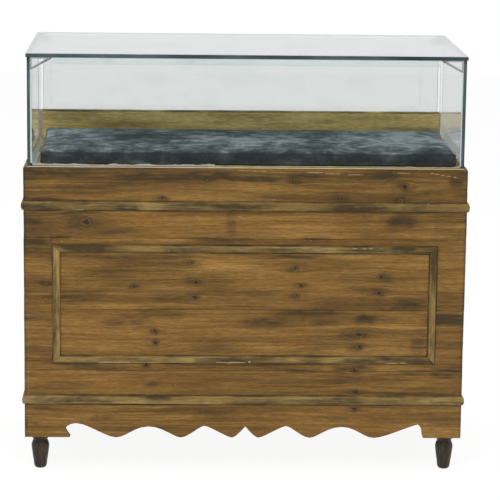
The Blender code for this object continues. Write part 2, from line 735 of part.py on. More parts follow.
def lock():
    nose, start = CAM_FRONT - CLEAR, SILL_REAR + CLEAR
    hole = PLUG_R + CLEAR
    profile = (
        (hole, nose),
        (LOCK_NOSE_R, nose),
        (LOCK_NOSE_R, start),
        (LOCK_R, start),
        (LOCK_R, SILL_FRONT),
        (hole, SILL_FRONT),
    )
    from_nose = [(radius, y - nose) for radius, y in profile]
    turned("lock_body", from_nose, NICKEL, CABINET, (LOCK_X, nose, LOCK_Z), Y, ring=True)
    half = CAM_WIDTH / 2
    bend = [math.radians(90 + 180 * i / CAM_BEND) for i in range(CAM_BEND + 1)]
    tongue = [(half * math.cos(a), half * math.sin(a)) for a in bend]
    tongue += [(CAM_LENGTH - half, -half), (CAM_LENGTH, -half / 2), (CAM_LENGTH, half / 2)]
    tongue += [(CAM_LENGTH - half, half)]
    place = Vector((LOCK_X, CAM_FRONT + CAM_THICK / 2, LOCK_Z))
    cam = plate("lock_cam", tongue, CAM_THICK, X, Z, place, NICKEL, LOCK)
    plug_middle = Vector((LOCK_X, CAM_FRONT + CAM_THICK / 2 - PLUG_LENGTH / 2, LOCK_Z))
    face_depth = KEY_FACE_THICK + CAM_THICK / 2
    face_middle = Vector((LOCK_X, CAM_FRONT + CAM_THICK / 2 + face_depth / 2, LOCK_Z))
    boolean(
        cam,
        "UNION",
        tool_rod("lock_plug", plug_middle, Y, PLUG_R, PLUG_LENGTH),
        tool_rod("lock_key_face", face_middle, Y, KEY_FACE_R, face_depth),
    )
    key_end = CAM_FRONT + CAM_THICK + KEY_FACE_THICK
    slot = tool_block(
        "key_slot",
        (LOCK_X - KEY_SLOT_LENGTH / 2, key_end - KEY_SLOT_DEPTH, LOCK_Z - KEY_SLOT_WIDTH / 2),
        (LOCK_X + KEY_SLOT_LENGTH / 2, key_end + KEY_SLOT_DEPTH, LOCK_Z + KEY_SLOT_WIDTH / 2),
    )
    boolean(cam, "DIFFERENCE", slot)


def flap():
    block(
        "rear_glass_flap",
        (-FLAP_HALF, FLAP_FRONT, FLAP_LOW),
        (FLAP_HALF, FLAP_REAR, FLAP_Z + FLAP_ABOVE_AXIS),
        GLASS,
        FLAP,
        GLASS_ARRIS,
    )
    inner, outer = FLAP_FRONT - CLEAR, FLAP_REAR + CLEAR
    base = FLAP_LOW - CLEAR
    channel = [
        (inner - PULL_SHEET, base + PULL_LEG),
        (inner - PULL_SHEET, base - PULL_SHEET),
        (outer + PULL_SHEET + PULL_LIP, base - PULL_SHEET),
        (outer + PULL_SHEET + PULL_LIP, base),
        (outer + PULL_SHEET, base),
        (outer + PULL_SHEET, base + PULL_LEG),
        (outer, base + PULL_LEG),
        (outer, base),
        (inner, base),
        (inner, base + PULL_LEG),
    ]
    local = [(y - FLAP_Y, z - base) for y, z in channel]
    plate("flap_pull", local, PULL_LENGTH, Y, Z, (0, FLAP_Y, base), NICKEL, FLAP)


def flap_hinges():
    """A pierced bracket on each side pane, and a clamp on the flap's corner whose pin turns in it."""
    drop = FLAP_AXIS_DROP + BRACKET_BELOW
    bracket = [
        (0, 0),
        (-BRACKET_FLANGE_WIDTH, 0),
        (-BRACKET_FLANGE_WIDTH, -BRACKET_FLANGE),
        (-BRACKET_THICK, -BRACKET_FLANGE),
        (-BRACKET_THICK, -drop),
        (0, -drop),
    ]
    wall_out = FLAP_HALF + CLEAR + CLAMP_WALL
    pin_end = CASE_HALF - 2 * CLEAR
    for side, sign in SIDES:
        length = BRACKET_REACH + BRACKET_TAIL
        place = (sign * (CASE_HALF - CLEAR), FLAP_Y - BRACKET_REACH + length / 2, CASE_TOP - CLEAR)
        holder = plate(f"{side}_flap_bracket", bracket, length, sign * X, Z, place, NICKEL)
        axis_point = Vector((sign * CASE_HALF, FLAP_Y, FLAP_Z))
        bore = tool_rod(f"{side}_flap_bore", axis_point, X, FLAP_PIN_R + CLEAR, 4 * BRACKET_THICK)
        boolean(holder, "DIFFERENCE", bore)
        near, far = sorted((sign * (FLAP_HALF - CLAMP_GRIP), sign * wall_out))
        clamp = block(
            f"{side}_flap_clamp",
            (near, FLAP_Y - CLAMP_HALF, FLAP_Z - CLAMP_BELOW),
            (far, FLAP_Y + CLAMP_HALF, FLAP_Z + CLAMP_ABOVE),
            NICKEL,
            FLAP,
        )
        near, far = sorted((sign * (FLAP_HALF - 2 * CLAMP_GRIP), sign * (FLAP_HALF + CLEAR)))
        slot = tool_block(
            f"{side}_clamp_slot",
            (near, FLAP_FRONT - CLEAR, FLAP_Z - 2 * CLAMP_BELOW),
            (far, FLAP_REAR + CLEAR, FLAP_Z + 2 * CLAMP_ABOVE),
        )
        start = wall_out - CLAMP_WALL / 2
        pin_middle = Vector((sign * (start + pin_end) / 2, FLAP_Y, FLAP_Z))
        pin = tool_rod(f"{side}_flap_pin", pin_middle, X, FLAP_PIN_R, pin_end - start)
        boolean(clamp, "DIFFERENCE", slot)
        boolean(clamp, "UNION", pin)


def velvet_pad():
    """A cushion from a coarse cage: crowned top, soft edges and sides drawn in towards its base."""
    half_x = CASE_HALF - PAD_SIDE_GAP
    front, rear = CASE_FRONT + PAD_FRONT_GAP, SILL_FRONT - PAD_REAR_GAP
    half_y = (rear - front) / 2
    shape = bmesh.new()
    bmesh.ops.create_cube(shape, size=2.0)
    bmesh.ops.subdivide_edges(shape, edges=shape.edges[:], cuts=PAD_CUTS, use_grid_fill=True)
    edge_loop = 1 - 2 / (PAD_CUTS + 1)

    def eased(share, half):
        """Moves the outermost loops of the cage close to the edges, so that only the edges are soft."""
        if math.isclose(abs(share), edge_loop, abs_tol=CLEAR):
            return math.copysign(half - PAD_SOFT_EDGE, share)
        return share * half

    for vert in shape.verts:
        x, y, z = vert.co
        on_top = math.isclose(z, 1, abs_tol=CLEAR)
        crown = PAD_CROWN * (1 - x * x) * (1 - y * y) if on_top else 0.0
        draw_in = PAD_DRAW_IN * (1 - z) / 2
        vert.co.x = eased(x, half_x - draw_in)
        vert.co.y = eased(y, half_y - draw_in)
        vert.co.z = (z + 1) / 2 * PAD_HEIGHT + crown
    mesh = bpy.data.meshes.new("velvet_pad")
    shape.to_mesh(mesh)
    shape.free()
    pad = bpy.data.objects.new("velvet_pad", mesh)
    settle(pad, (PAD_SHIFT, (front + rear) / 2, TOP + CLEAR), VELVET, CABINET)
    soften = pad.modifiers.new("soften", "SUBSURF")
    soften.levels = 1
    soften.render_levels = 1


front_boards()
apron()
side_panels()
posts_and_feet()
boards_inside()
base_mouldings()
panel_mouldings()
doors()
panes()
top_joint()
sill()
lock()
flap()
flap_hinges()
velvet_pad()
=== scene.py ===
"""Looks of a jewelry display cabinet: worn stained pine, green-edged glass and crushed velvet."""

import json
import math
import random

import bmesh
import bpy
from mathutils import Matrix, Vector, noise

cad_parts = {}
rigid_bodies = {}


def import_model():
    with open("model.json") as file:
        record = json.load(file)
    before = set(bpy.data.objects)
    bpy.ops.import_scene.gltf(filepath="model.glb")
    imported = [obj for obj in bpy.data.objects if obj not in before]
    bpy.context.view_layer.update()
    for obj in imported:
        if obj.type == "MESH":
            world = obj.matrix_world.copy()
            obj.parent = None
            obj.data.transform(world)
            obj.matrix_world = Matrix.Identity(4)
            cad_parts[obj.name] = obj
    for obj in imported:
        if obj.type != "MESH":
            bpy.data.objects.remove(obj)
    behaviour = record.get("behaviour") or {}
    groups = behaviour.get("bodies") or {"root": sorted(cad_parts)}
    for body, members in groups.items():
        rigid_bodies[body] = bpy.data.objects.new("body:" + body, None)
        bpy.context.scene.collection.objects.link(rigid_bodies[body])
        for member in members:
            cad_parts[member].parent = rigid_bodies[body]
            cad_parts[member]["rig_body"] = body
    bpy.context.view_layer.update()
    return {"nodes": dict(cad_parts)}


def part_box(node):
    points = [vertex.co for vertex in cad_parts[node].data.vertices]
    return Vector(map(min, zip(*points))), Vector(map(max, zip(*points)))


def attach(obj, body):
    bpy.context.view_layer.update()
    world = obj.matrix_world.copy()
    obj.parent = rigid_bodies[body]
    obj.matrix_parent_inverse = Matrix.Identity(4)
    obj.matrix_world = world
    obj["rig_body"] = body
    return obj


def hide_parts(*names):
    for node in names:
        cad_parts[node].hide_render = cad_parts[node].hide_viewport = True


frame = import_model()
NODES = frame["nodes"]

X, Y, Z = Vector((1, 0, 0)), Vector((0, 1, 0)), Vector((0, 0, 1))
QUARTER = math.pi / 2
SIDES = ("left", "right")
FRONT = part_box("front_board_top")[0].y
BASE_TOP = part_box("front_board_top")[1].z
BASE_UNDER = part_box("front_apron")[0].z
SILL_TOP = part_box("rear_sill_rail")[1].z


def metres(*rows):
    """Rows of lengths that are written in millimetres."""
    return [[length / 1000 for length in row] for row in rows]


# Knots on the front as (x, z, radius)
FRONT_KNOTS = metres(
    (-434, 697, 13), (-224, 764, 6), (-540, 526, 5), (-302, 519, 6), (-147, 586, 7), (-134, 533, 7),
    (-136, 492, 9), (429, 799, 10), (419, 760, 7), (259, 765, 6), (126, 810, 6), (138, 571, 8),
    (152, 524, 6), (139, 496, 8), (370, 550, 9), (365, 505, 8), (-244, 396, 8), (-241, 363, 9),
    (-268, 301, 8), (-249, 247, 6), (-243, 191, 6), (313, 387, 10), (314, 354, 9), (304, 289, 9),
    (306, 227, 9), (304, 178, 9),
)

# Dark stains on the front as (x, z, half length, half height, strength in thousandths)
FRONT_STAINS = metres(
    (-520, 832, 85, 6, 700), (-300, 826, 60, 5, 500), (-110, 823, 115, 7, 800), (-560, 760, 60, 4, 600),
    (30, 820, 60, 6, 800), (150, 826, 50, 5, 500), (380, 826, 30, 7, 800), (570, 815, 20, 10, 700),
    (420, 702, 36, 12, 900), (-450, 722, 45, 5, 700), (-575, 700, 22, 8, 600), (-40, 700, 12, 25, 500),
    (-575, 645, 30, 8, 700), (-500, 655, 25, 5, 800), (-60, 652, 80, 5, 700), (190, 654, 35, 5, 700),
    (150, 605, 60, 4, 800), (-330, 604, 170, 5, 500), (-460, 487, 65, 8, 600), (-200, 487, 50, 8, 700),
    (30, 500, 60, 6, 400), (455, 475, 40, 12, 700), (-325, 425, 65, 12, 700), (-230, 450, 60, 5, 600),
    (200, 450, 90, 6, 800), (50, 425, 55, 10, 700), (330, 430, 25, 8, 900), (220, 420, 35, 6, 600),
    (420, 462, 70, 4, 700), (545, 430, 40, 10, 800), (290, 385, 30, 10, 700), (475, 360, 18, 20, 600),
    (-400, 292, 85, 7, 700), (-150, 272, 70, 6, 500), (300, 292, 50, 8, 800), (510, 280, 80, 7, 800),
    (160, 285, 45, 6, 700), (410, 222, 170, 4, 800), (-550, 178, 40, 4, 800), (-390, 152, 35, 10, 700),
    (-585, 135, 30, 10, 600), (-80, 165, 70, 8, 600), (260, 152, 30, 10, 600), (380, 145, 55, 12, 600),
    (530, 150, 35, 16, 500),
)

# Pale splinters on the front as (x, z, x, z, half height), from end to end
FRONT_CHIPS = metres(
    (-30, 842, 140, 834, 1.2), (140, 838, 345, 829, 1.6), (375, 838, 445, 836, 1.4),
    (490, 838, 575, 824, 1.4), (-399, 309.5, -312, 308.5, 3), (-80, 308.5, 2, 309.5, 3.2),
    (10, 312, 20, 312, 4), (385, 309, 447, 309, 2.6), (60, 320, 120, 319, 2.6),
    (-470, 731, -435, 731, 2.2), (290, 629, 490, 627, 1.2), (172, 654, 178, 648, 3),
    (-522, 638, -513, 655, 3), (-500, 638, -492, 655, 3),
)


def srgb(red, green, blue):
    """A colour as it looks on a screen, from 0 to 255, as the linear colour that a shader takes."""
    linear = []
    for part in (red, green, blue):
        share = part / 255
        linear.append(share / 12.92 if share <= 0.04045 else ((share + 0.055) / 1.055) ** 2.4)
    return (*linear, 1.0)


# Shader nodes


def set_inputs(tree, node, inputs):
    for key, value in inputs.items():
        if isinstance(value, bpy.types.NodeSocket):
            tree.links.new(value, node.inputs[key])
        else:
            node.inputs[key].default_value = value


def put(tree, kind, inputs=None, **settings):
    """Adds a node, sets its options, and sets or links its input sockets by name or number."""
    node = tree.nodes.new("ShaderNode" + kind)
    for key, value in settings.items():
        setattr(node, key, value)
    set_inputs(tree, node, inputs or {})
    return node


def calc(tree, operation, first, second=0.0, third=0.0, clamp=False):
    inputs = {0: first, 1: second, 2: third}
    return put(tree, "Math", inputs, operation=operation, use_clamp=clamp).outputs[0]


def times(tree, first, second):
    return calc(tree, "MULTIPLY", first, second)


def minus(tree, first, second):
    return calc(tree, "SUBTRACT", first, second)


def size_of(tree, value):
    return calc(tree, "ABSOLUTE", value)


def between(tree, value, low, high, out_low=0.0, out_high=1.0):
    """The value's place between low and high, clamped and eased."""
    inputs = {"Value": value, "From Min": low, "From Max": high, "To Min": out_low, "To Max": out_high}
    return put(tree, "MapRange", inputs, interpolation_type="SMOOTHSTEP").outputs["Result"]


def mixed(tree, factor, first, second, blend="MIX"):
    return put(tree, "Mix", {0: factor, 6: first, 7: second}, data_type="RGBA", blend_type=blend).outputs[2]


def ramp(tree, value, stops):
    """Colours along a value, as (place, colour)."""
    node = put(tree, "ValToRGB", {"Fac": value})
    line = node.color_ramp
    while len(line.elements) < len(stops):
        line.elements.new(1.0)
    for element, (place, colour) in zip(line.elements, stops):
        element.position = place
        element.color = colour
    return node.outputs["Color"]


def moved(tree, vector, shift):
    return put(tree, "VectorMath", {0: vector, 1: shift}, operation="ADD").outputs[0]


def cloud(tree, vector, stretch, detail=2.0, rough=0.5):
    """Noise whose cells are divided by the three scales, as a value about 0.5."""
    place = put(tree, "VectorMath", {0: vector, 1: stretch}, operation="MULTIPLY").outputs[0]
    inputs = {"Vector": place, "Scale": 1.0, "Detail": detail, "Roughness": rough}
    return put(tree, "TexNoise", inputs).outputs["Fac"]


def parts_of(tree, vector):
    return put(tree, "SeparateXYZ", {0: vector}).outputs


def attribute(tree, name):
    return put(tree, "Attribute", attribute_name=name, attribute_type="GEOMETRY").outputs["Fac"]


def object_place(tree, turn=(0, 0, 0)):
    place = put(tree, "TexCoord").outputs["Object"]
    return put(tree, "Mapping", {"Vector": place, "Rotation": turn}).outputs["Vector"]


def bumped(tree, height, depth, strength=1.0):
    return put(tree, "Bump", {"Height": height, "Distance": depth, "Strength": strength}).outputs["Normal"]


def new_group(name, inputs, outputs):
    group = bpy.data.node_groups.new(name, "ShaderNodeTree")
    for label, kind in inputs:
        group.interface.new_socket(label, in_out="INPUT", socket_type="NodeSocket" + kind)
    for label, kind in outputs:
        group.interface.new_socket(label, in_out="OUTPUT", socket_type="NodeSocket" + kind)
    given = group.nodes.new("NodeGroupInput")
    made = group.nodes.new("NodeGroupOutput")
    return group, given.outputs, made


def place_group(tree, group, inputs):
    node = tree.nodes.new("ShaderNodeGroup")
    node.node_tree = group
    set_inputs(tree, node, inputs)
    return node.outputs


def pine_figure():
    """Figure of a sawn pine board with its grain along X: bands, late wood lines, stains and fibres."""
    inputs = (("Vector", "Vector"), ("Bend", "Float"), ("Board", "Float"))
    labels = ("Figure", "Warmth", "Late wood", "Stain", "Fibre")
    group, given, made = new_group("pine_figure", inputs, [(label, "Float") for label in labels])
    shift = {0: given["Board"], 1: (7.3, 3.1, 5.7), 2: given["Vector"]}
    apart = put(group, "VectorMath", shift, operation="MULTIPLY_ADD").outputs[0]
    meander = calc(group, "MULTIPLY_ADD", cloud(group, apart, (1.1, 3.0, 4.0), 2.0), 0.034, given["Bend"])
    bend = put(group, "CombineXYZ", {"Z": meander}).outputs[0]
    grain = moved(group, apart, bend)

    patch = cloud(group, grain, (2.4, 7.0, 12.0), 3.0)
    streak = cloud(group, grain, (2.2, 20.0, 58.0), 3.0)
    fine = cloud(group, grain, (7.0, 110.0, 240.0), 3.0, 0.65)
    bands = calc(group, "MULTIPLY_ADD", patch, 0.40, times(group, streak, 0.28))
    bands = calc(group, "MULTIPLY_ADD", fine, 0.32, bands)
    figure = between(group, bands, 0.36, 0.64)
    warmth = between(group, cloud(group, apart, (3.0, 9.0, 9.0), 2.0), 0.4, 0.68)

    level = parts_of(group, grain)["Z"]
    wander = times(group, cloud(group, apart, (0.9, 3.0, 8.0), 1.0), 3.0)
    rings = calc(group, "FRACT", calc(group, "MULTIPLY_ADD", level, 105.0, wander))
    rise = between(group, rings, 0.55, 0.90)
    fall = between(group, rings, 0.93, 1.0, 1.0, 0.0)
    fade = between(group, cloud(group, grain, (3.0, 6.0, 24.0), 3.0), 0.44, 0.66)
    line = times(group, times(group, rise, fall), fade)

    elsewhere = moved(group, grain, (3.7, 1.9, 2.3))
    stain = between(group, cloud(group, elsewhere, (2.8, 9.0, 24.0), 5.0, 0.62), 0.53, 0.80)
    fibre = cloud(group, grain, (44.0, 240.0, 330.0), 3.0, 0.7)
    set_inputs(group, made, dict(zip(labels, (figure, warmth, line, stain, fibre))))
    return group


def joint_grime_and_shade():
    """Darkening along the mouldings, partly grime and partly painted shade from the mouldings: 1 in the
    joint, fading within a few millimetres.
    """
    group, given, made = new_group("joint_grime_and_shade", [("Vector", "Vector")], [("Grime_and_shade", "Float")])
    part = parts_of(group, given["Vector"])
    nearest = None
    for level in ("upper", "lower"):
        low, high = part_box(f"{level}_moulding_front")
        middle, half = (low.z + high.z) / 2, (high.z - low.z) / 2
        off = size_of(group, minus(group, part["Z"], middle))
        edge = size_of(group, minus(group, off, half))
        nearest = edge if nearest is None else calc(group, "MINIMUM", nearest, edge)
    bottom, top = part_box("panel_moulding_bottom"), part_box("panel_moulding_top")
    half = (top[1].z - top[0].z) / 2
    reach_x = top[1].x - half
    reach_z = (top[1].z - bottom[0].z) / 2 - half
    off_x = minus(group, size_of(group, part["X"]), reach_x)
    middle = (top[1].z + bottom[0].z) / 2
    off_z = size_of(group, minus(group, part["Z"], middle))
    ring = size_of(group, calc(group, "MAXIMUM", off_x, minus(group, off_z, reach_z)))
    nearest = calc(group, "MINIMUM", nearest, size_of(group, minus(group, ring, half)))
    ragged = cloud(group, given["Vector"], (24.0, 24.0, 24.0), 3.0)
    nearest = calc(group, "MULTIPLY_ADD", ragged, -0.0050, calc(group, "ADD", nearest, 0.0025))
    depth = between(group, cloud(group, given["Vector"], (7.0, 7.0, 7.0), 3.0), 0.38, 0.62, 0.35, 1.0)
    set_inputs(group, made, {"Grime_and_shade": times(group, between(group, nearest, 0.0050, 0.0006), depth)})
    return group


PINE_FIGURE = pine_figure()
# The joint darkening is partly grime and partly painted shade along the mouldings.
JOINT_GRIME_AND_SHADE = joint_grime_and_shade()


def mix_surface(tree, output, share, first, second):
    """Shows two shaders, the second one by its share."""
    both = put(tree, "MixShader", {0: share, 1: first.outputs[0], 2: second.outputs[0]})
    tree.links.new(both.outputs[0], tree.nodes[output].inputs["Surface"])


def new_look(name):
    made = bpy.data.materials.new(name)
    made.use_nodes = True
    tree = made.node_tree
    return made, tree, tree.nodes["Principled BSDF"]


def stained_wood(name, turn, tones, warm, late, stain, pale, roughness, stains=0.6, grime_and_shade=0.0, faded=None):
    """Stained pine with tones from its darkest band to its palest, stains, knots and worn splinters."""
    made, tree, shader = new_look(name)
    place = object_place(tree, turn)
    given = {"Vector": place, "Bend": attribute(tree, "bend"), "Board": attribute(tree, "board")}
    pine = place_group(tree, PINE_FIGURE, given)
    count = len(tones) - 1
    colour = ramp(tree, pine["Figure"], [(i / count, tone) for i, tone in enumerate(tones)])
    colour = mixed(tree, times(tree, pine["Warmth"], 0.35), colour, warm)
    colour = mixed(tree, times(tree, pine["Late wood"], 0.40), colour, late)
    if faded:
        share = between(tree, parts_of(tree, place)["X"], -0.60, 0.55, 0.42, 0.75)
        colour = mixed(tree, share, colour, faded)
    broken = between(tree, pine["Figure"], 1.0, 0.15, 0.7, 1.15)
    dirt_and_shade = times(tree, attribute(tree, "stain"), broken)
    dirt_and_shade = calc(tree, "MULTIPLY_ADD", pine["Stain"], stains, dirt_and_shade, clamp=True)
    # Darkening along the moulding joints: partly grime, partly painted shade cast by the mouldings.
    if grime_and_shade:
        unturned = put(tree, "TexCoord").outputs["Object"]
        corner = place_group(tree, JOINT_GRIME_AND_SHADE, {"Vector": unturned})["Grime_and_shade"]
        dirt_and_shade = calc(tree, "MAXIMUM", dirt_and_shade, times(tree, corner, grime_and_shade))
    # The stain colour paints both the stains and the painted shade along the mouldings.
    colour = mixed(tree, times(tree, dirt_and_shade, 0.92), colour, stain)
    fibre = between(tree, pine["Fibre"], 0.3, 0.7, 0.76, 1.22)
    colour = mixed(tree, 1.0, colour, fibre, "MULTIPLY")
    knot = attribute(tree, "knot")
    grit = minus(tree, cloud(tree, place, (120.0, 120.0, 120.0), 2.0), 0.5)
    gritty = times(tree, between(tree, knot, 0.02, 0.3), 1.2)
    knot = calc(tree, "MULTIPLY_ADD", gritty, grit, knot)
    colour = mixed(tree, between(tree, knot, 0.10, 0.28, 0.0, 0.72), colour, srgb(64, 48, 27))
    colour = mixed(tree, between(tree, knot, 0.32, 0.46, 0.0, 0.5), colour, srgb(118, 88, 48))
    colour = mixed(tree, between(tree, knot, 0.52, 0.80, 0.0, 0.9), colour, srgb(42, 31, 19))
    torn = minus(tree, pine["Fibre"], 0.5)
    ragged = calc(tree, "MULTIPLY_ADD", torn, 1.4, attribute(tree, "wear"))
    worn = between(tree, ragged, 0.42, 0.90, 0.0, 0.8)
    flecks = between(tree, cloud(tree, place, (70.0, 150.0, 170.0), 2.0), 0.74, 0.80, 0.0, 0.6)
    worn = calc(tree, "MAXIMUM", worn, flecks)
    relief = calc(tree, "MULTIPLY_ADD", pine["Late wood"], 0.8, pine["Fibre"])
    relief = calc(tree, "MULTIPLY_ADD", worn, -0.6, relief)
    inputs = {
        "Base Color": mixed(tree, worn, colour, pale),
        "Roughness": between(tree, pine["Fibre"], 0.3, 0.7, roughness - 0.08, roughness + 0.10),
        "Specular IOR Level": 0.22,
        "Normal": bumped(tree, relief, 0.0007, 0.6),
    }
    set_inputs(tree, shader, inputs)
    return made


def lightened(finish, by):
    """The same finish with its tones lighter by a factor."""
    tones = [(*(min(1.0, part * by) for part in tone[:3]), 1.0) for tone in finish["tones"]]
    return {**finish, "tones": tones}


PINE = {
    "tones": (srgb(82, 59, 27), srgb(106, 78, 37), srgb(126, 94, 46), srgb(150, 114, 60)),
    "warm": srgb(140, 100, 50),
    "late": srgb(80, 56, 28),
    "stain": srgb(56, 47, 28),
    "pale": srgb(178, 152, 108),
    "roughness": 0.62,
    "stains": 0.8,
}
# The front and side boards take the joint darkening, which is partly painted shade.
PINE_FRONT = stained_wood("stained_pine_front", (0, 0, 0), grime_and_shade=1.0, **PINE)
PINE_SIDE = stained_wood("stained_pine_side", (0, 0, -QUARTER), grime_and_shade=0.85, **PINE)
PINE_RAIL = stained_wood("stained_pine_rail", (0, 0, 0), **PINE)
PINE_DOOR = stained_wood("stained_pine_door", (0, QUARTER, 0), **PINE)
OLIVE = {
    "tones": (srgb(100, 81, 44), srgb(126, 103, 58), srgb(143, 119, 69), srgb(163, 139, 86)),
    "warm": srgb(134, 104, 56),
    "late": srgb(84, 68, 39),
    "stain": srgb(58, 47, 28),
    "pale": srgb(190, 170, 128),
    "roughness": 0.55,
    "stains": 0.6,
    "grime_and_shade": 0.9,
}
OLIVE_FRONT = stained_wood("olive_moulding_front", (0, 0, 0), **OLIVE)
OLIVE_SIDE = stained_wood("olive_moulding_side", (0, 0, -QUARTER), **OLIVE)
# The upright mouldings use the olive finish with tones 1.35 times lighter: painted light that makes up for
# the light that misses their side-facing rounds.
OLIVE_UPRIGHT_PAINTED_LIGHTER = stained_wood("olive_moulding_upright_painted_lighter", (0, QUARTER, 0), **lightened(OLIVE, 1.35))
RAW = {
    "tones": (srgb(150, 116, 74), srgb(176, 140, 94), srgb(192, 158, 112), srgb(206, 174, 128)),
    "warm": srgb(196, 148, 92),
    "late": srgb(150, 108, 64),
    "stain": srgb(134, 104, 70),
    "pale": srgb(214, 188, 146),
    "roughness": 0.68,
    "stains": 0.35,
}
RAW_BOARD = stained_wood("plain_pine_board", (0, 0, 0), **RAW)
RAW_POST = stained_wood("plain_pine_post", (0, QUARTER, 0), **RAW)
SILL = stained_wood(
    "olive_sill_paint",
    (0, 0, 0),
    (srgb(124, 106, 62), srgb(168, 146, 90), srgb(206, 181, 120), srgb(242, 222, 160)),
    warm=srgb(198, 164, 100),
    late=srgb(122, 108, 67),
    stain=srgb(86, 77, 51),
    pale=srgb(206, 192, 144),
    roughness=0.45,
    stains=0.6,
    faded=srgb(240, 207, 138),
)
TURNED = stained_wood(
    "dark_turned_wood",
    (0, QUARTER, 0),
    (srgb(40, 34, 28), srgb(54, 47, 39), srgb(68, 59, 48), srgb(86, 75, 59)),
    warm=srgb(74, 58, 40),
    late=srgb(36, 30, 25),
    stain=srgb(34, 31, 28),
    pale=srgb(120, 104, 82),
    roughness=0.45,
)


def clear_look(name, tint, smeared, roughness, ior):
    """A clear sheet with faint smears and waves, which lets the lamps' light reach what is behind it."""
    made, tree, shader = new_look(name)
    place = object_place(tree)
    smear = between(tree, cloud(tree, place, (9.0, 9.0, 14.0), 3.0), 0.5, 0.8)
    wave = cloud(tree, place, (5.0, 5.0, 5.0), 1.0)
    inputs = {
        "Base Color": mixed(tree, smear, tint, smeared),
        "Normal": bumped(tree, wave, 0.0004, 0.5),
        "Roughness": roughness,
        "IOR": ior,
        "Transmission Weight": 1.0,
    }
    set_inputs(tree, shader, inputs)
    through = put(tree, "BsdfTransparent", {"Color": tint})
    path = put(tree, "LightPath").outputs
    unlit = calc(tree, "MAXIMUM", path["Is Shadow Ray"], path["Is Diffuse Ray"])
    mix_surface(tree, "Material Output", unlit, shader, through)
    return made


def glass_edge_look(name, tones):
    """The ground edge of float glass, deep green because the light in it has come a long way."""
    made, tree, shader = new_look(name)
    place = object_place(tree)
    depth = cloud(tree, place, (4.0, 60.0, 9.0), 3.0)
    ground = cloud(tree, place, (300.0, 300.0, 300.0), 2.0)
    inputs = {
        "Base Color": ramp(tree, depth, list(zip((0.3, 0.5, 0.72), tones))),
        "Roughness": between(tree, depth, 0.3, 0.7, 0.12, 0.3),
        "Normal": bumped(tree, ground, 0.0002, 0.3),
    }
    set_inputs(tree, shader, inputs)
    return made


def metal_look(name, bright, dull, polish):
    made, tree, shader = new_look(name)
    place = object_place(tree)
    tarnish = between(tree, cloud(tree, place, (45.0, 45.0, 45.0), 4.0, 0.6), 0.45, 0.75)
    scuff = cloud(tree, place, (900.0, 160.0, 160.0), 2.0)
    rubbed = between(tree, scuff, 0.3, 0.7, polish, polish + 0.1)
    inputs = {
        "Base Color": mixed(tree, tarnish, bright, dull),
        "Roughness": calc(tree, "MULTIPLY_ADD", tarnish, 0.12, rubbed),
        "Metallic": 1.0,
        "Normal": bumped(tree, scuff, 0.00005, 0.4),
    }
    set_inputs(tree, shader, inputs)
    return made


def velvet_look():
    """Crushed velvet: the nap lies in brushed patches that look pale or dark, over a fine pile; the top is
    painted lighter and the front and sides painted darker.
    """
    made, tree, shader = new_look("crushed_velvet")
    place = object_place(tree)
    push = times(tree, cloud(tree, place, (5.0, 6.0, 11.0), 3.0), 0.14)
    brushed = moved(tree, place, push)
    nap = cloud(tree, brushed, (22.0, 22.0, 30.0), 5.0, 0.65)
    broad = cloud(tree, brushed, (5.0, 5.0, 9.0), 2.0)
    lie = calc(tree, "MULTIPLY_ADD", nap, 0.6, times(tree, broad, 0.4))
    tones = [
        (0.40, srgb(53, 57, 61)),
        (0.48, srgb(81, 86, 91)),
        (0.54, srgb(107, 112, 118)),
        (0.62, srgb(144, 150, 156)),
    ]
    pile = between(tree, cloud(tree, place, (900.0, 900.0, 900.0), 1.0), 0.25, 0.75, 0.9, 1.1)
    # How far each face points up scales its colour, from 0.68 on the front and sides to 1.38 on the top:
    # painted light on the top and painted shade on the front and sides, which are first mixed toward a flat
    # grey-green.
    upward = attribute(tree, "upward")
    painted_facing_light = between(tree, upward, 0.5, 0.985, 0.68, 1.38)
    drawn = between(tree, upward, 0.9, 0.4, 0.0, 0.6)
    sides_greyed = mixed(tree, drawn, ramp(tree, lie, tones), srgb(71, 78, 82))
    inputs = {
        "Base Color": mixed(tree, 1.0, sides_greyed, times(tree, pile, painted_facing_light), "MULTIPLY"),
        "Roughness": between(tree, lie, 0.35, 0.7, 0.95, 0.8),
        "Specular IOR Level": 0.0,
        "Sheen Weight": 0.22,
        "Sheen Roughness": 0.4,
        "Sheen Tint": srgb(160, 176, 177),
        "Normal": bumped(tree, broad, 0.006, 0.5),
    }
    set_inputs(tree, shader, inputs)
    return made


def bead_look():
    """Soft glazing bead, pale at the left of the cabinet and yellowed towards the right."""
    made, tree, shader = new_look("glazing_bead")
    place = object_place(tree)
    part = parts_of(tree, place)
    blotch = cloud(tree, place, (24.0, 24.0, 70.0), 3.0)
    stain = between(tree, calc(tree, "MULTIPLY_ADD", blotch, 0.25, part["X"]), -0.02, 0.12)
    stain = times(tree, stain, between(tree, part["Z"], BASE_TOP + 0.020, BASE_TOP + 0.012))
    colour = mixed(tree, stain, srgb(210, 196, 178), srgb(216, 200, 152))
    shade = between(tree, blotch, 0.3, 0.7, 0.84, 1.04)
    ooze = cloud(tree, place, (160.0, 160.0, 160.0), 2.0)
    inputs = {
        "Base Color": mixed(tree, 1.0, colour, shade, "MULTIPLY"),
        "Roughness": between(tree, blotch, 0.3, 0.7, 0.35, 0.55),
        "Normal": bumped(tree, ooze, 0.0006, 0.5),
    }
    set_inputs(tree, shader, inputs)
    return made


def plastic_look(name, colour):
    made, tree, shader = new_look(name)
    grain = cloud(tree, object_place(tree), (420.0, 420.0, 420.0), 2.0)
    shade = between(tree, grain, 0.2, 0.8, 0.85, 1.1)
    inputs = {
        "Base Color": mixed(tree, 1.0, colour, shade, "MULTIPLY"),
        "Roughness": between(tree, grain, 0.3, 0.7, 0.4, 0.55),
        "Normal": bumped(tree, grain, 0.0002, 0.3),
    }
    set_inputs(tree, shader, inputs)
    return made


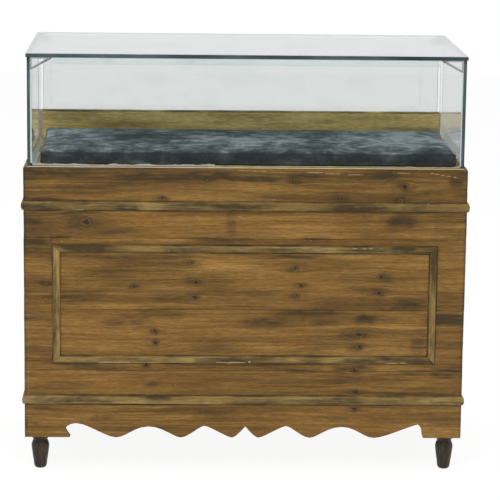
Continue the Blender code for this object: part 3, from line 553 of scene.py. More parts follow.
GLASS = clear_look("clear_glass", srgb(246, 248, 247), srgb(241, 245, 244), 0.0, 1.47)
FLAP_GLASS = clear_look("rear_flap_glass", srgb(234, 236, 235), srgb(229, 233, 232), 0.0, 1.47)
TOP_GLASS = clear_look("thick_top_glass", srgb(196, 204, 201), srgb(188, 197, 194), 0.0, 1.47)
EDGE = glass_edge_look("top_glass_edge", (srgb(38, 50, 51), srgb(54, 68, 69), srgb(86, 104, 104)))
UPRIGHT_TONES = (srgb(62, 74, 76), srgb(84, 96, 99), srgb(116, 128, 132))
UPRIGHT_EDGE = glass_edge_look("upright_glass_edge", UPRIGHT_TONES)
ACRYLIC = clear_look("clear_acrylic", srgb(240, 247, 245), srgb(232, 240, 238), 0.06, 1.49)
NICKEL = metal_look("nickel_plate", srgb(190, 189, 186), srgb(150, 146, 139), 0.12)
BRASS = metal_look("aged_brass", srgb(186, 152, 92), srgb(112, 84, 46), 0.26)
VELVET = velvet_look()
BEAD = bead_look()
CATCH = plastic_look("brown_catch", srgb(74, 52, 36))
SEALANT = plastic_look("clear_sealant", srgb(208, 220, 220))


# Shapes


def box_shape(low, high):
    shape = bmesh.new()
    bmesh.ops.create_cube(shape, size=1.0)
    bmesh.ops.scale(shape, vec=high - low, verts=shape.verts)
    bmesh.ops.translate(shape, vec=(low + high) / 2, verts=shape.verts)
    return shape


def round_edges(shape, edges, width, segments):
    bmesh.ops.bevel(
        shape,
        geom=edges,
        offset=width,
        offset_type="OFFSET",
        segments=segments,
        profile=0.5,
        affect="EDGES",
        material=-1,
        clamp_overlap=True,
    )


def round_rim(shape, width, segments=2):
    """Rounds the edges where two faces meet at more than about 57 degrees."""
    round_edges(shape, [e for e in shape.edges if e.calc_face_angle(0.0) > 1.0], width, segments)


def slice_along(shape, axis, step):
    """Divides the straight edges along one axis, so that a long piece can be worn unevenly."""
    groups = {}
    for edge in shape.edges:
        run = edge.verts[1].co - edge.verts[0].co
        if run.length > step and abs(run.normalized()[axis]) > 0.999:
            groups.setdefault(round(run.length, 3), []).append(edge)
    for length, edges in groups.items():
        bmesh.ops.subdivide_edges(shape, edges=edges, cuts=max(1, int(length / step)), use_grid_fill=True)


def cut_across(shape, axis, low, high, step):
    """Cuts a long piece by planes across one axis, which a piece with slanted ends needs."""
    normal = (X, Y, Z)[axis]
    count = int((high - low) / step)
    for i in range(1, count):
        whole = shape.verts[:] + shape.edges[:] + shape.faces[:]
        place = normal * (low + (high - low) * i / count)
        bmesh.ops.bisect_plane(shape, geom=whole, dist=0.000001, plane_co=place, plane_no=normal)


def mesh_of(name, shape):
    """The mesh of a shape, which is used up."""
    mesh = bpy.data.meshes.new(name)
    shape.to_mesh(mesh)
    shape.free()
    return mesh


def added(name, data):
    obj = bpy.data.objects.new(name, data)
    bpy.context.scene.collection.objects.link(obj)
    return obj


def piece(name, shape, looks, body="cabinet", nodes=(), sharp=40):
    """The finished object of a shape, riding on its body and standing for its nodes."""
    mesh = mesh_of(name, shape)
    for look in looks:
        mesh.materials.append(look)
    mesh.shade_smooth()
    mesh.set_sharp_from_angle(angle=math.radians(sharp))
    obj = added(name, mesh)
    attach(obj, body)
    if nodes:
        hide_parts(*nodes)
    return obj


def body_of(node):
    return NODES[node]["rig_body"]


def rough_at(*place):
    return noise.noise(Vector(place))


def clamped(value):
    return min(max(value, 0.0), 1.0)


def node_shape(node):
    """A merged copy of a node's mesh, with its flat faces whole again."""
    shape = bmesh.new()
    shape.from_mesh(NODES[node].data)
    bmesh.ops.remove_doubles(shape, verts=shape.verts, dist=0.00002)
    bmesh.ops.dissolve_limit(shape, angle_limit=math.radians(0.5), verts=shape.verts, edges=shape.edges)
    return shape


# Wear


def knot_marks(u, v, knots, seed):
    """How far knots bend the grain at a place on a board, how dark they are there, and their halo."""
    bend = dark = halo = 0.0
    for knot_u, knot_v, size in knots:
        du, dv = (u - knot_u) / size, (v - knot_v) / size
        if abs(du) > 12 or abs(dv) > 6:
            continue
        bend -= 0.8 * size * dv * math.exp(-((du / 5) ** 2) - (dv / 2.2) ** 2)
        ragged = 1 + 0.4 * rough_at(u * 120, v * 120, seed)
        dark = max(dark, ragged * math.exp(-((du / 1.05) ** 2) - (dv / 0.85) ** 2))
        uneven = 0.75 + 0.8 * rough_at(u * 45, v * 70, seed + 0.5)
        halo = max(halo, uneven * math.exp(-((du / 3.6) ** 2) - (dv / 1.6) ** 2))
    return bend, dark, halo


def stain_mark(u, v, stains, seed):
    best = 0.0
    for stain_u, stain_v, long, high, strength in stains:
        du, dv = (u - stain_u) / (1.15 * long), (v - stain_v) / (1.5 * high)
        if abs(du) < 1.6 and abs(dv) < 2.2:
            wave = dv + 0.5 * rough_at(u * 28, seed, 0.5)
            best = max(best, strength * math.exp(-(du**4) - wave * wave))
    return best * (1.1 + 0.5 * rough_at(u * 45, v * 130, seed))


def chip_mark(u, v, chips, seed):
    best = 0.0
    for u0, v0, u1, v1, half in chips:
        share = (u - u0) / (u1 - u0)
        if 0.0 < share < 1.0:
            middle = v0 + (v1 - v0) * share + 0.5 * half * rough_at(u * 60, seed, 0.0)
            off = (v - middle) / (half * (0.4 + 1.2 * math.sqrt(share * (1 - share))))
            best = max(best, (1 + 0.5 * rough_at(u * 110, seed, 3.0)) * math.exp(-off * off))
    return best


# Heights on the front where its tone changes, and distances from its middle to the panel and the corners
CLEAN_TOP, PANEL_TOP, SIDE_TOP = 0.285, 0.610, 0.660
LOWER_MOULDING, UPPER_MOULDING, TOP_BOARD, DUSTY = 0.215, 0.730, 0.742, 0.800
PANEL_LEFT, PANEL_RIGHT, CORNER = 0.519, 0.511, 0.589


def front_tone(x, z):
    """Darker ends of the front, between the two mouldings, and its rubbed outer corners."""
    dark = 0.8 * clamped((abs(x) - CORNER) / 0.009)
    clean = 0.34 if z < CLEAN_TOP else 0.14 if z < PANEL_TOP and x < 0 else 0.0
    if z > TOP_BOARD:
        cloudy = 0.2 * rough_at(x * 5, z * 30, 6.0)
        dark = max(dark, 0.26 + 0.10 * x + 3.0 * max(0.0, z - DUSTY) + cloudy)
    if LOWER_MOULDING < z < UPPER_MOULDING:
        strength = 0.24 if x < 0 and z < SIDE_TOP else 0.20
        end = clamped((abs(x) - (PANEL_LEFT if x < 0 else PANEL_RIGHT)) / 0.004)
        dark = max(dark, end * strength * (1 + 0.9 * rough_at(x * 7, z * 18, 2.0)))
    return dark - clean


def upper_tone(x, _):
    """The upper moulding is dirtier than the rest, unevenly along its length."""
    return 0.20 + 0.25 * rough_at(x * 6, 0.0, 9.0)


def weather(shape, along, across, seed, knots=(), stains=(), chips=(), dents=0.0003, tone=None):
    """Wears a board: hollows it, sinks its knots, breaks its edges and marks it for its look."""
    marks = ("bend", "knot", "stain", "wear", "board")
    layers = [shape.verts.layers.float.new(mark) for mark in marks]
    shape.normal_update()
    lows = [min(v.co[i] for v in shape.verts) for i in range(3)]
    highs = [max(v.co[i] for v in shape.verts) for i in range(3)]
    moves = []
    for vert in shape.verts:
        u, v = vert.co[along], vert.co[across]
        bend, knot, halo = knot_marks(u, v, knots, seed)
        stain = max(0.9 * halo, stain_mark(u, v, stains, seed)) + (tone(u, v) if tone else 0.0)
        chip = chip_mark(u, v, chips, seed)
        rub = 0.0
        if sum(1 for i in range(3) if min(vert.co[i] - lows[i], highs[i] - vert.co[i]) < 0.0016) > 1:
            rub = max(0.0, rough_at(u * 9, v * 9, seed) + 0.6 * rough_at(u * 41, v * 41, seed))
        x, y, z = vert.co
        coarse, fine = rough_at(x * 6, y * 6, z * 6 + seed), rough_at(x * 21, y * 21, z * 21 + seed)
        hollow = dents * (coarse + 0.5 * fine)
        depth = hollow - 0.0008 * clamped(knot) - 0.0012 * min(chip, 1.2) - 0.0010 * rub
        moves.append((vert, vert.normal * depth))
        values = (bend, clamped(knot), stain, min(1.0, max(0.5 * rub, chip)), seed)
        for layer, value in zip(layers, values):
            vert[layer] = value
    for vert, move in moves:
        vert.co += move


def front_marks(low, high):
    """The front's knots, stains and splinters that touch a board."""
    knots = [k for k in FRONT_KNOTS if low.z - 0.05 < k[1] < high.z + 0.05]
    stains = [s for s in FRONT_STAINS if low.z - 0.03 < s[1] < high.z + 0.03]
    chips = [c for c in FRONT_CHIPS if low.z - 0.01 < c[1] < high.z + 0.01]
    return knots, stains, chips


# Base


def front_boards():
    for seed, name in enumerate(("front_board_top", "front_board_upper", "front_board_lower"), 1):
        low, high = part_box(name)
        shape = box_shape(low, high)
        slice_along(shape, 0, 0.0032)
        slice_along(shape, 2, 0.0026)
        round_rim(shape, 0.0012)
        weather(shape, 0, 2, seed, *front_marks(low, high), tone=front_tone)
        piece(f"worn_{name}", shape, [PINE_FRONT], nodes=[name])


def trimmed(shape, tool, operation):
    """The shape cut by, or down to, another one."""
    blank = added("blank", mesh_of("blank", shape))
    cutter = added("cutter", mesh_of("cutter", tool))
    trim = blank.modifiers.new("trim", "BOOLEAN")
    trim.operation = operation
    trim.object = cutter
    graph = bpy.context.evaluated_depsgraph_get()
    made = bmesh.new()
    made.from_mesh(blank.evaluated_get(graph).to_mesh())
    for spare in (blank, cutter):
        bpy.data.objects.remove(spare)
    bmesh.ops.remove_doubles(made, verts=made.verts, dist=0.00005)
    return made


def apron():
    """The scalloped board: a finely divided board trimmed to the apron's outline."""
    low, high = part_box("front_apron")
    shape = box_shape(low - Z * 0.01, high)
    slice_along(shape, 0, 0.0032)
    slice_along(shape, 2, 0.0026)
    outline = node_shape("front_apron")
    beyond = 0.02
    for vert in outline.verts:
        vert.co.y += math.copysign(beyond, vert.co.y - (low.y + high.y) / 2)
        if min(vert.co.x - low.x, high.x - vert.co.x) < 0.0001:
            vert.co.x += math.copysign(beyond, vert.co.x)
        if high.z - vert.co.z < 0.0001:
            vert.co.z += beyond
    shape = trimmed(shape, outline, "INTERSECT")
    round_rim(shape, 0.0010)
    weather(shape, 0, 2, 4, *front_marks(low, high), tone=front_tone)
    piece("worn_front_apron", shape, [PINE_FRONT], nodes=["front_apron"])


def random_knots(seed, count, low, high):
    draw = random.Random(seed)
    knots = []
    for _ in range(count):
        place = draw.uniform(low[0], high[0]), draw.uniform(low[1], high[1])
        knots.append((*place, draw.uniform(0.006, 0.011)))
    return knots


def random_stains(seed, count, low, high, most):
    draw = random.Random(seed)
    stains = []
    for _ in range(count):
        place = draw.uniform(low[0], high[0]), draw.uniform(low[1], high[1])
        reach = draw.uniform(0.03, 0.1), draw.uniform(0.005, 0.012)
        stains.append((*place, *reach, draw.uniform(0.5, 1.0) * most))
    return stains


def other_boards():
    """Side panels, doors and rear rails, worn like the front with knots and stains of their own."""
    plan = (
        ("left_side_panel", 1, 2, PINE_SIDE, 14, 11),
        ("right_side_panel", 1, 2, PINE_SIDE, 14, 12),
        ("left_door", 2, 0, PINE_DOOR, 9, 13),
        ("right_door", 2, 0, PINE_DOOR, 9, 14),
        ("rear_top_rail", 0, 2, PINE_RAIL, 3, 15),
        ("rear_bottom_rail", 0, 2, PINE_RAIL, 4, 16),
    )
    for node, along, across, look, count, seed in plan:
        low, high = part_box(node)
        shape = box_shape(low, high)
        slice_along(shape, along, 0.006)
        slice_along(shape, across, 0.0035)
        round_rim(shape, 0.0012)
        ends = (low[along], low[across]), (high[along], high[across])
        knots = random_knots(seed, count, *ends)
        weather(shape, along, across, seed, knots, random_stains(seed, count, *ends, 0.8))
        piece(f"worn_{node}", shape, [look], body_of(node), [node])


def sill_tone(x, z):
    """The sill's top edge is dark with handling."""
    edge = clamped((z - SILL_TOP + 0.0050) / 0.0025)
    return edge * (0.75 + 0.5 * rough_at(x * 14, 0.0, 5.0))


def sill():
    """The painted rail behind the pad, bored from behind for the lock and closed in front of it."""
    proud, bore_radius, bore_gap, bore_length = 0.0012, 0.0105, 0.0003, 0.04
    low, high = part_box("rear_sill_rail")
    shape = box_shape(low - Y * proud, high)
    slice_along(shape, 0, 0.006)
    slice_along(shape, 2, 0.0025)
    round_rim(shape, 0.0012)
    ends = (low.x, low.z), (high.x, high.z)
    weather(shape, 0, 2, 17, (), random_stains(17, 9, *ends, 0.5), tone=sill_tone)
    for vert in shape.verts:
        vert.co.y = min(vert.co.y, high.y)
    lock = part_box("lock_body")
    middle = (lock[0] + lock[1]) / 2
    profile = [(0.0, 0.0), (bore_radius, 0.0), (bore_radius, bore_length), (0.0, bore_length)]
    bore = turned_shape(profile, Vector((middle.x, lock[0].y - bore_gap, middle.z)), Y, 40)
    shape = trimmed(shape, bore, "DIFFERENCE")
    piece("worn_rear_sill_rail", shape, [SILL], nodes=["rear_sill_rail"])


def mouldings():
    plan = []
    for level in ("upper", "lower"):
        plan.append((f"{level}_moulding_front", 0, 2, OLIVE_FRONT))
        plan += [(f"{level}_moulding_{side}", 1, 2, OLIVE_SIDE) for side in SIDES]
    plan += [(f"panel_moulding_{end}", 0, 2, OLIVE_FRONT) for end in ("top", "bottom")]
    # The upright mouldings take the copy of the olive finish that is painted lighter.
    plan += [(f"panel_moulding_{side}", 2, 0, OLIVE_UPRIGHT_PAINTED_LIGHTER) for side in SIDES]
    for seed, (node, along, across, look) in enumerate(plan, 21):
        low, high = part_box(node)
        shape = node_shape(node)
        cut_across(shape, along, low[along], high[along], 0.004)
        ends = (low[along], low[across]), (high[along], high[across])
        stains = random_stains(seed, 14 if along == 0 else 4, *ends, 0.85)
        chips = [c for c in FRONT_CHIPS if low.z < c[1] < high.z] if along == 0 else ()
        tone = upper_tone if node == "upper_moulding_front" else None
        weather(shape, along, across, seed, (), stains, chips, 0.0004, tone)
        piece(f"worn_{node}", shape, [look], nodes=[node], sharp=50)


def turned_shape(profile, place, along, steps):
    """Spins a profile of (radius, height) about an axis through a place."""
    shape = bmesh.new()
    verts = [shape.verts.new((radius, 0, height)) for radius, height in profile]
    for first, second in zip(verts, verts[1:]):
        shape.edges.new((first, second))
    bmesh.ops.spin(
        shape,
        geom=shape.verts[:] + shape.edges[:],
        cent=(0, 0, 0),
        axis=(0, 0, 1),
        angle=2 * math.pi,
        steps=steps,
        use_merge=True,
        use_normal_flip=False,
    )
    bmesh.ops.remove_doubles(shape, verts=shape.verts, dist=0.00001)
    bmesh.ops.recalc_face_normals(shape, faces=shape.faces)
    turn = Z.rotation_difference(along).to_matrix().to_4x4()
    bmesh.ops.transform(shape, matrix=Matrix.Translation(place) @ turn, verts=shape.verts)
    return shape


def smooth_profile(knots, steps):
    """Catmull-Rom curve through (radius, height) knots."""
    points = []
    for i in range(len(knots) - 1):
        a, b = knots[max(i - 1, 0)], knots[i]
        c, d = knots[i + 1], knots[min(i + 2, len(knots) - 1)]
        for j in range(steps):
            t = j / steps
            point = []
            for k in range(2):
                curve = 2 * b[k] + (c[k] - a[k]) * t
                curve += (2 * a[k] - 5 * b[k] + 4 * c[k] - d[k]) * t * t
                curve += (3 * b[k] - a[k] - 3 * c[k] + d[k]) * t**3
                point.append(curve / 2)
            points.append((max(point[0], 0.0), point[1]))
    points.append(knots[-1])
    return points


# Feet as (radius, drop below the base) down to the bulge, then (radius, height above the floor)
FOOT_HEAD = metres((23.2, 9), (20, 13), (19.6, 16), (22.2, 22), (24.3, 30), (24, 37))
FOOT_TAPER = metres((21.3, 36), (19, 22), (18, 13), (16.8, 6), (14, 1.4))


def feet():
    top = BASE_UNDER - 0.0003
    for end in ("front", "rear"):
        for side in SIDES:
            node = f"{end}_{side}_leg"
            low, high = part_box(node)
            middle = (low + high) / 2
            knots = [(radius, top - drop) for radius, drop in FOOT_HEAD] + FOOT_TAPER
            profile = [(0.0, top), (0.0236, top), (0.0243, top - 0.0015), (0.0243, top - 0.0060)]
            profile += smooth_profile(knots, 4) + [(0.0110, 0.0), (0.0, 0.0)]
            shape = turned_shape(profile, Vector((middle.x, middle.y, 0)), Z, 56)
            weather(shape, 2, 0, 41 + len(side) + 3 * len(end), dents=0.0003)
            for vert in shape.verts:
                vert.co.z = max(vert.co.z, 0.0)
            piece(f"turned_{node}", shape, [TURNED], nodes=[node], sharp=35)


# A knob from its tip to its foot, as shares of its radius and of its length
KNOB = ((0, 1), (0.5, 0.97), (0.85, 0.86), (1, 0.70), (0.9, 0.55), (0.5, 0.36), (0.45, 0.20), (0.7, 0.1))


def knobs():
    for side in SIDES:
        node = f"{side}_door_knob"
        low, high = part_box(node)
        middle = (low + high) / 2
        reach = high.y - low.y
        radius = (high.x - low.x) / 2
        profile = smooth_profile([(radius * r, reach * h) for r, h in KNOB], 4)
        profile += [(radius * 0.70, 0.0), (0.0, 0.0)]
        shape = turned_shape(profile, Vector((middle.x, low.y, middle.z)), Y, 40)
        weather(shape, 1, 0, 51 + len(side), dents=0.0001)
        piece(f"turned_{node}", shape, [TURNED], body_of(node), [node], sharp=35)


# Showcase


def panes():
    """Glass sheets with ground edges: the broad faces are clear, the rest is edge."""
    thin = {"front_glass": 1, "left_glass": 0, "right_glass": 0, "top_glass": 2, "rear_glass_flap": 1}
    broad = {"top_glass": [TOP_GLASS, EDGE], "rear_glass_flap": [FLAP_GLASS, UPRIGHT_EDGE]}
    for node, axis in thin.items():
        low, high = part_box(node)
        shape = box_shape(low, high)
        rim = [e for e in shape.edges if abs((e.verts[1].co - e.verts[0].co)[axis]) < 0.0001]
        round_edges(shape, rim, 0.0007, 2)
        shape.normal_update()
        for face in shape.faces:
            face.material_index = 0 if abs(face.normal[axis]) > 0.99 else 1
        looks = broad.get(node, [GLASS, UPRIGHT_EDGE])
        piece(f"{node}_sheet", shape, looks, body_of(node), [node], sharp=25)


def seal():
    """The soft strips under the three standing panes, squeezed out unevenly."""
    low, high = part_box("glass_seal")
    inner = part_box("right_glass")[0].x
    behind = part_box("front_glass")[1].y
    strips = (
        (0, low, Vector((high.x, behind, high.z))),
        (1, Vector((low.x, behind, low.z)), Vector((-inner, high.y, high.z))),
        (1, Vector((inner, behind, low.z)), high),
    )
    shape = bmesh.new()
    for axis, near, far in strips:
        strip = box_shape(near, far)
        slice_along(strip, axis, 0.004)
        round_rim(strip, 0.0008)
        mesh = mesh_of("strip", strip)
        shape.from_mesh(mesh)
        bpy.data.meshes.remove(mesh)
    shape.normal_update()
    for vert in shape.verts:
        x, y, z = vert.co
        lump = 0.6 * rough_at(x * 60, y * 60, z * 60) + 0.5 * rough_at(x * 210, y * 210, z * 210)
        vert.co += Vector((vert.normal.x, vert.normal.y, 0)) * 0.0008 * lump
    piece("squeezed_glass_seal", shape, [BEAD], nodes=["glass_seal"], sharp=60)


def prism(shape, outline, run):
    """Adds a block that carries an outline along a run."""
    face = shape.faces.new([shape.verts.new(point) for point in outline])
    made = bmesh.ops.extrude_face_region(shape, geom=[face])
    far = [v for v in made["geom"] if isinstance(v, bmesh.types.BMVert)]
    bmesh.ops.translate(shape, vec=run, verts=far)
    bmesh.ops.recalc_face_normals(shape, faces=shape.faces)


def bead(name, start, end, first, second, size, lumps, look=BEAD):
    """A hand-drawn bead in an inside corner: first and second point from the corner along its walls."""
    start, end, first, second = (Vector(v) for v in (start, end, first, second))
    shape = bmesh.new()
    arc = [start + first * size, start + second * size]
    for i in range(1, 5):
        turn = QUARTER * i / 5
        near, far = 1 - 0.8 * math.sin(turn), 1 - 0.8 * math.cos(turn)
        arc.insert(i, start + first * size * near + second * size * far)
    prism(shape, (start, *arc), end - start)
    run = (end - start).normalized()
    axis = max(range(3), key=lambda i: abs(run[i]))
    slice_along(shape, axis, 0.004)
    shape.normal_update()
    for vert in shape.verts:
        off = vert.co - start
        out_first, out_second = off.dot(first), off.dot(second)
        along = off.dot(run)
        lump = rough_at(along * 38, size * 900, 0.3) + 0.6 * rough_at(along * 120, size * 700, 4.1)
        grow = 1 + lumps * lump
        vert.co += (first * out_first + second * out_second) * (grow - 1)
    piece(name, shape, [look], sharp=60)


def beads():
    """Beads in the inside corners of the panes, clear of the braces, brackets and pad."""
    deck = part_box("deck_board")[1].z + 0.0004
    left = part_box("left_glass")[1].x + 0.0002
    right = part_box("right_glass")[0].x - 0.0002
    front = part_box("front_glass")[1].y + 0.0002
    sill_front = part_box("rear_sill_rail")[0].y - 0.0002
    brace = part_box("left_corner_brace")[0].z - 0.002
    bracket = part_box("left_flap_bracket")[0].z - 0.003
    bead("front_bead_left", (left, front, deck), (-0.085, front, deck), Y, Z, 0.0085, 0.4)
    bead("front_bead_right", (-0.084, front, deck), (right, front, deck), Y, Z, 0.0060, 0.3)
    bead("left_bead_front", (left, front, deck), (left, -0.02, deck), X, Z, 0.0115, 0.2, SEALANT)
    bead("left_bead_rear", (left, -0.019, deck), (left, sill_front, deck), X, Z, 0.0060, 0.2, SEALANT)
    bead("right_bead", (right, front, deck), (right, sill_front, deck), -X, Z, 0.0030, 0.2)
    bead("left_corner_bead", (left, front, deck), (left, front, brace), X, Y, 0.0040, 0.2, SEALANT)
    bead("right_corner_bead", (right, front, deck), (right, front, brace), -X, Y, 0.0030, 0.2, SEALANT)
    bead("left_sill_bead", (left, sill_front, deck), (left, sill_front, SILL_TOP), X, -Y, 0.0075, 0.15)
    bead("right_sill_bead", (right, sill_front, deck), (right, sill_front, SILL_TOP), -X, -Y, 0.0055, 0.15)


def pad_blank(low, high):
    """The pad before it is filled: a soft-edged slab, a little askew on the deck as it lies."""
    shape = box_shape(low + Vector((0.004, 0.004, 0.0)), high - Vector((0.004, 0.004, 0.0055)))
    for axis in range(3):
        slice_along(shape, axis, 0.009)
    round_rim(shape, 0.010, 3)
    middle, half = (low + high) / 2, (high - low) / 2
    for vert in shape.verts:
        share_x = (vert.co.x - middle.x) / half.x
        share_y = (vert.co.y - middle.y) / half.y
        if share_x < 0:
            vert.co.x += 0.004 * share_x - 0.008 * share_x * share_x * max(share_y, 0.0)
        else:
            vert.co.x += 0.004 * share_x
    return shape


def filled(shape, floor, reach):
    """Fills a cover by Cloth pressure with its underside held, and keeps each point within reach."""
    cover = added("pad_cover", mesh_of("pad_cover", shape))
    even = cover.modifiers.new("even", "REMESH")
    even.mode = "VOXEL"
    even.voxel_size = 0.008
    graph = bpy.context.evaluated_depsgraph_get()
    even_mesh = bpy.data.meshes.new_from_object(cover.evaluated_get(graph))
    cover.modifiers.clear()
    cover.data = even_mesh
    held = cover.vertex_groups.new(name="underside")
    held.add([v.index for v in even_mesh.vertices if v.co.z < floor + 0.007], 1.0, "REPLACE")
    cloth = cover.modifiers.new("filling", "CLOTH")
    cloth.settings.vertex_group_mass = held.name
    cloth.settings.use_pressure = True
    cloth.settings.uniform_pressure_force = 4.0
    cloth.settings.effector_weights.gravity = 0.0
    scene = bpy.context.scene
    for step in range(1, 21):
        scene.frame_set(step)
    graph = bpy.context.evaluated_depsgraph_get()
    shape = bmesh.new()
    shape.from_mesh(cover.evaluated_get(graph).to_mesh())
    shape.verts.ensure_lookup_table()
    for start, vert in zip(even_mesh.vertices, shape.verts):
        move = vert.co - start.co
        if move.length > reach:
            vert.co = start.co + move.normalized() * reach
    scene.frame_set(1)
    bpy.data.objects.remove(cover)
    every_axis = {f"use_axis_{axis}": True for axis in "xyz"}
    bmesh.ops.smooth_vert(shape, verts=shape.verts, factor=0.4, **every_axis)
    bmesh.ops.subdivide_edges(shape, edges=shape.edges, cuts=1, use_grid_fill=True, smooth=0.6)
    return shape


def velvet_pad():
    """The pad, filled, then brushed into shallow wrinkles along its length."""
    low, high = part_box("velvet_pad")
    shape = pad_blank(low, high)
    shape = filled(shape, low.z, 0.004)
    shape.normal_update()
    moves = []
    for vert in shape.verts:
        x, y, z = vert.co
        lift = clamped((z - low.z) / (high.z - low.z))
        fold = rough_at(x * 9 + y * 4, y * 13 - x * 3, 3.0) + 0.5 * rough_at(x * 24, y * 27 + x * 6, 8.0)
        crease = max(0.0, 0.35 - abs(rough_at(x * 6, y * 9, 5.0))) * 2.2
        moves.append((vert, vert.normal * (0.0016 * fold - 0.0022 * crease) * lift))
    for vert, move in moves:
        vert.co += move
        vert.co.z = max(vert.co.z, low.z)
    # How far each point faces up, which the velvet reads to paint its top lighter and its front and sides
    # darker.
    upward = shape.verts.layers.float.new("upward")
    shape.normal_update()
    for vert in shape.verts:
        vert[upward] = max(0.0, vert.normal.z)
    pad = piece("crushed_velvet_pad", shape, [VELVET], nodes=["velvet_pad"], sharp=80)


def screw(name, place, out, radius, body):
    """A button-head screw with a round socket."""
    knots = ((0.0, 0.28), (0.36, 0.28), (0.42, 0.55), (0.75, 0.46), (0.95, 0.22), (1.0, 0.0), (0.0, 0.0))
    profile = [(radius * r, radius * h) for r, h in knots]
    piece(name, turned_shape(profile, place, out, 20), [NICKEL], body, sharp=30)


def brace_window(corner, sign, wide, drop):
    """The opening in a corner brace's web: a three-sided block that leaves a narrow frame around it."""
    frame_width = 0.0038
    near = frame_width + 0.001
    left_over = 1 - frame_width * math.hypot(wide, drop) / (wide * drop)
    far_x, far_z = wide * (left_over - near / drop), drop * (left_over - near / wide)
    shape = bmesh.new()
    outline = ((near, near), (far_x, near), (near, far_z))
    prism(shape, [corner + Vector((-sign * u, -0.001, -v)) for u, v in outline], Y * 0.006)
    return shape


def fittings():
    """Corner braces with an opening and a rolled rim, and the screws of braces and flap clamps."""
    for side, sign in zip(SIDES, (-1, 1)):
        node = f"{side}_corner_brace"
        low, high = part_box(node)
        inner, outer = (low.x, high.x) if sign > 0 else (high.x, low.x)
        window = brace_window(Vector((outer, low.y, high.z)), sign, high.x - low.x, high.z - low.z)
        shape = trimmed(node_shape(node), window, "DIFFERENCE")
        piece(f"pressed_{node}", shape, [NICKEL], nodes=[node], sharp=30)
        web = low.y + 0.002
        start = Vector((inner + sign * 0.002, web, high.z - 0.003))
        end = Vector((outer - sign * 0.002, web, low.z + 0.001))
        long = (end - start).length
        near_end = metres((0, 0), (1.2, 0.2), (1.7, 1))
        far_end = [(radius, long - drop) for radius, drop in reversed(near_end)]
        rim = turned_shape(near_end + far_end, start, (end - start).normalized(), 16)
        piece(f"{side}_brace_rim", rim, [NICKEL], sharp=50)
        middle = (low.y + high.y) / 2 + 0.002
        over = Vector((inner + sign * 0.012, middle, high.z - 0.0021))
        beside = Vector((outer - sign * 0.0021, middle, low.z + 0.009))
        screw(f"{side}_brace_top_screw", over, -Z, 0.0032, "cabinet")
        screw(f"{side}_brace_side_screw", beside, -sign * X, 0.0032, "cabinet")
        low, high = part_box(f"{side}_flap_clamp")
        for turn in (-1, 1):
            across = (low.x + high.x) / 2 - sign * 0.005 + turn * 0.006
            place = Vector((across, high.y, (low.z + high.z) / 2))
            end_name = "inner" if turn == -sign else "outer"
            screw(f"{side}_clamp_screw_{end_name}", place, Y, 0.0034, "flap")


def plain_nodes():
    """Looks of the CAD nodes that stay as they are."""
    looks = {
        RAW_BOARD: ["deck_board", "floor_board", "storage_shelf"],
        RAW_POST: [f"{end}_{side}_post" for end in ("front", "rear") for side in SIDES],
        ACRYLIC: ["joint_strip"],
        CATCH: ["door_catch"],
        NICKEL: ["flap_pull", "lock_body", "lock_cam"],
        BRASS: [],
    }
    for side in SIDES:
        looks[NICKEL] += [f"{side}_flap_bracket", f"{side}_flap_clamp"]
        for level in ("lower", "upper"):
            looks[BRASS] += [f"{side}_{level}_hinge_{part}_leaf" for part in ("door", "post")]
    for look, nodes in looks.items():
        for node in nodes:
            NODES[node].data.materials.clear()
            NODES[node].data.materials.append(look)


# Stage, light and camera


def white_rays(tree):
    """1 for the rays that look at the background, straight or in metal and glass."""
    path = put(tree, "LightPath").outputs
    seen = calc(tree, "MAXIMUM", path["Is Camera Ray"], path["Is Glossy Ray"])
    return calc(tree, "MAXIMUM", seen, path["Is Transmission Ray"])


def flat_sheet(name, reach, middle, grey, roughness):
    """A dull flat piece of the stage, with its look."""
    shape = bmesh.new()
    bmesh.ops.create_grid(shape, x_segments=4, y_segments=4, size=1.0)
    bmesh.ops.scale(shape, vec=reach, verts=shape.verts)
    bmesh.ops.translate(shape, vec=middle, verts=shape.verts)
    look, tree, shader = new_look(name)
    inputs = {"Base Color": (grey, grey, grey, 1.0), "Roughness": roughness, "Specular IOR Level": 0.0}
    set_inputs(tree, shader, inputs)
    obj = added(name, mesh_of(name, shape))
    obj.data.materials.append(look)
    return obj, look, tree, shader


def floor():
    obj, look, tree, shader = flat_sheet("pale_floor", (9.0, 9.0, 1.0), (0.0, 0.0, 0.0), 0.9, 0.9)
    look.cycles.emission_sampling = "NONE"
    white = put(tree, "Emission", {"Color": (1, 1, 1, 1), "Strength": 1.04})
    mix_surface(tree, "Material Output", times(tree, white_rays(tree), 0.88), shader, white)


def dark_card():
    """A dark card on the floor before the cabinet, seen only in reflections: it keeps the glass clear."""
    place = (0.0, FRONT - 9.0, 0.004)
    obj, _, tree, shader = flat_sheet("dark_card", (9.0, 6.5, 1.0), place, 0.002, 1.0)
    path = put(tree, "LightPath").outputs
    mirrored = calc(tree, "MINIMUM", path["Glossy Depth"], 1.0)
    mirrored = times(tree, mirrored, calc(tree, "LESS_THAN", path["Transmission Depth"], 3.0))
    mix_surface(tree, "Material Output", mirrored, put(tree, "BsdfTransparent"), shader)
    obj.visible_camera = False
    obj.visible_diffuse = False
    obj.visible_shadow = False


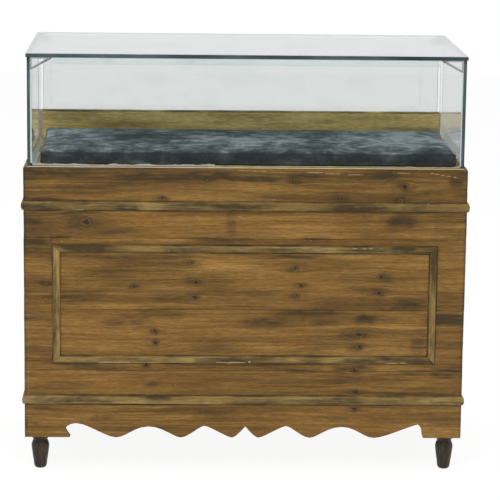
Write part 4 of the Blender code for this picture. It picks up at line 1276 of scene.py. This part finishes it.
def area_lamp(name, place, target, size, power):
    lamp = bpy.data.lights.new(name, "AREA")
    lamp.shape = "RECTANGLE"
    lamp.size, lamp.size_y = size
    lamp.energy = power
    obj = added(name, lamp)
    obj.location = place
    obj.rotation_euler = (Vector(target) - Vector(place)).to_track_quat("-Z", "Y").to_euler()
    return obj


def light():
    world = bpy.data.worlds.new("studio")
    bpy.context.scene.world = world
    world.use_nodes = True
    tree = world.node_tree
    soft = tree.nodes["Background"]
    soft.inputs["Color"].default_value = (1.0, 1.0, 1.0, 1.0)
    soft.inputs["Strength"].default_value = 0.62
    white = put(tree, "Background", {"Color": (1, 1, 1, 1), "Strength": 1.0})
    mix_surface(tree, "World Output", white_rays(tree), soft, white)
    key = area_lamp("key", (-0.8, FRONT - 2.6, 3.4), (0, 0, 0.6), (3.2, 2.0), 95)
    top = area_lamp("top", (0.4, 0.4, 3.6), (0, 0, 0.9), (2.4, 1.6), 30)
    for lamp in (key, top):
        lamp.visible_glossy = False
        lamp.visible_transmission = False


def camera():
    """At the photograph's place, turned by its yaw, pitch and roll."""
    yaw, pitch, roll = 0.0351, -0.1936, 0.0123
    forward = Vector((math.sin(yaw) * math.cos(pitch), math.cos(yaw) * math.cos(pitch), math.sin(pitch)))
    level = Vector((math.cos(yaw), -math.sin(yaw), 0))
    upright = level.cross(forward)
    across = level * math.cos(roll) + upright * math.sin(roll)
    up = upright * math.cos(roll) - level * math.sin(roll)
    lens = bpy.data.cameras.new("camera")
    lens.sensor_width = 36.0
    lens.lens = 167.86
    lens.clip_end = 100.0
    obj = added("camera", lens)
    turn = Matrix((across, up, -forward)).transposed().to_4x4()
    obj.matrix_world = Matrix.Translation((-0.2055, FRONT - 6.1981, BASE_UNDER + 1.7426)) @ turn
    bpy.context.scene.camera = obj


camera()
light()
floor()
dark_card()
plain_nodes()
front_boards()
apron()
other_boards()
sill()
mouldings()
feet()
knobs()
panes()
seal()
beads()
fittings()
velvet_pad()

bpy.context.scene.view_settings.view_transform = "Standard"
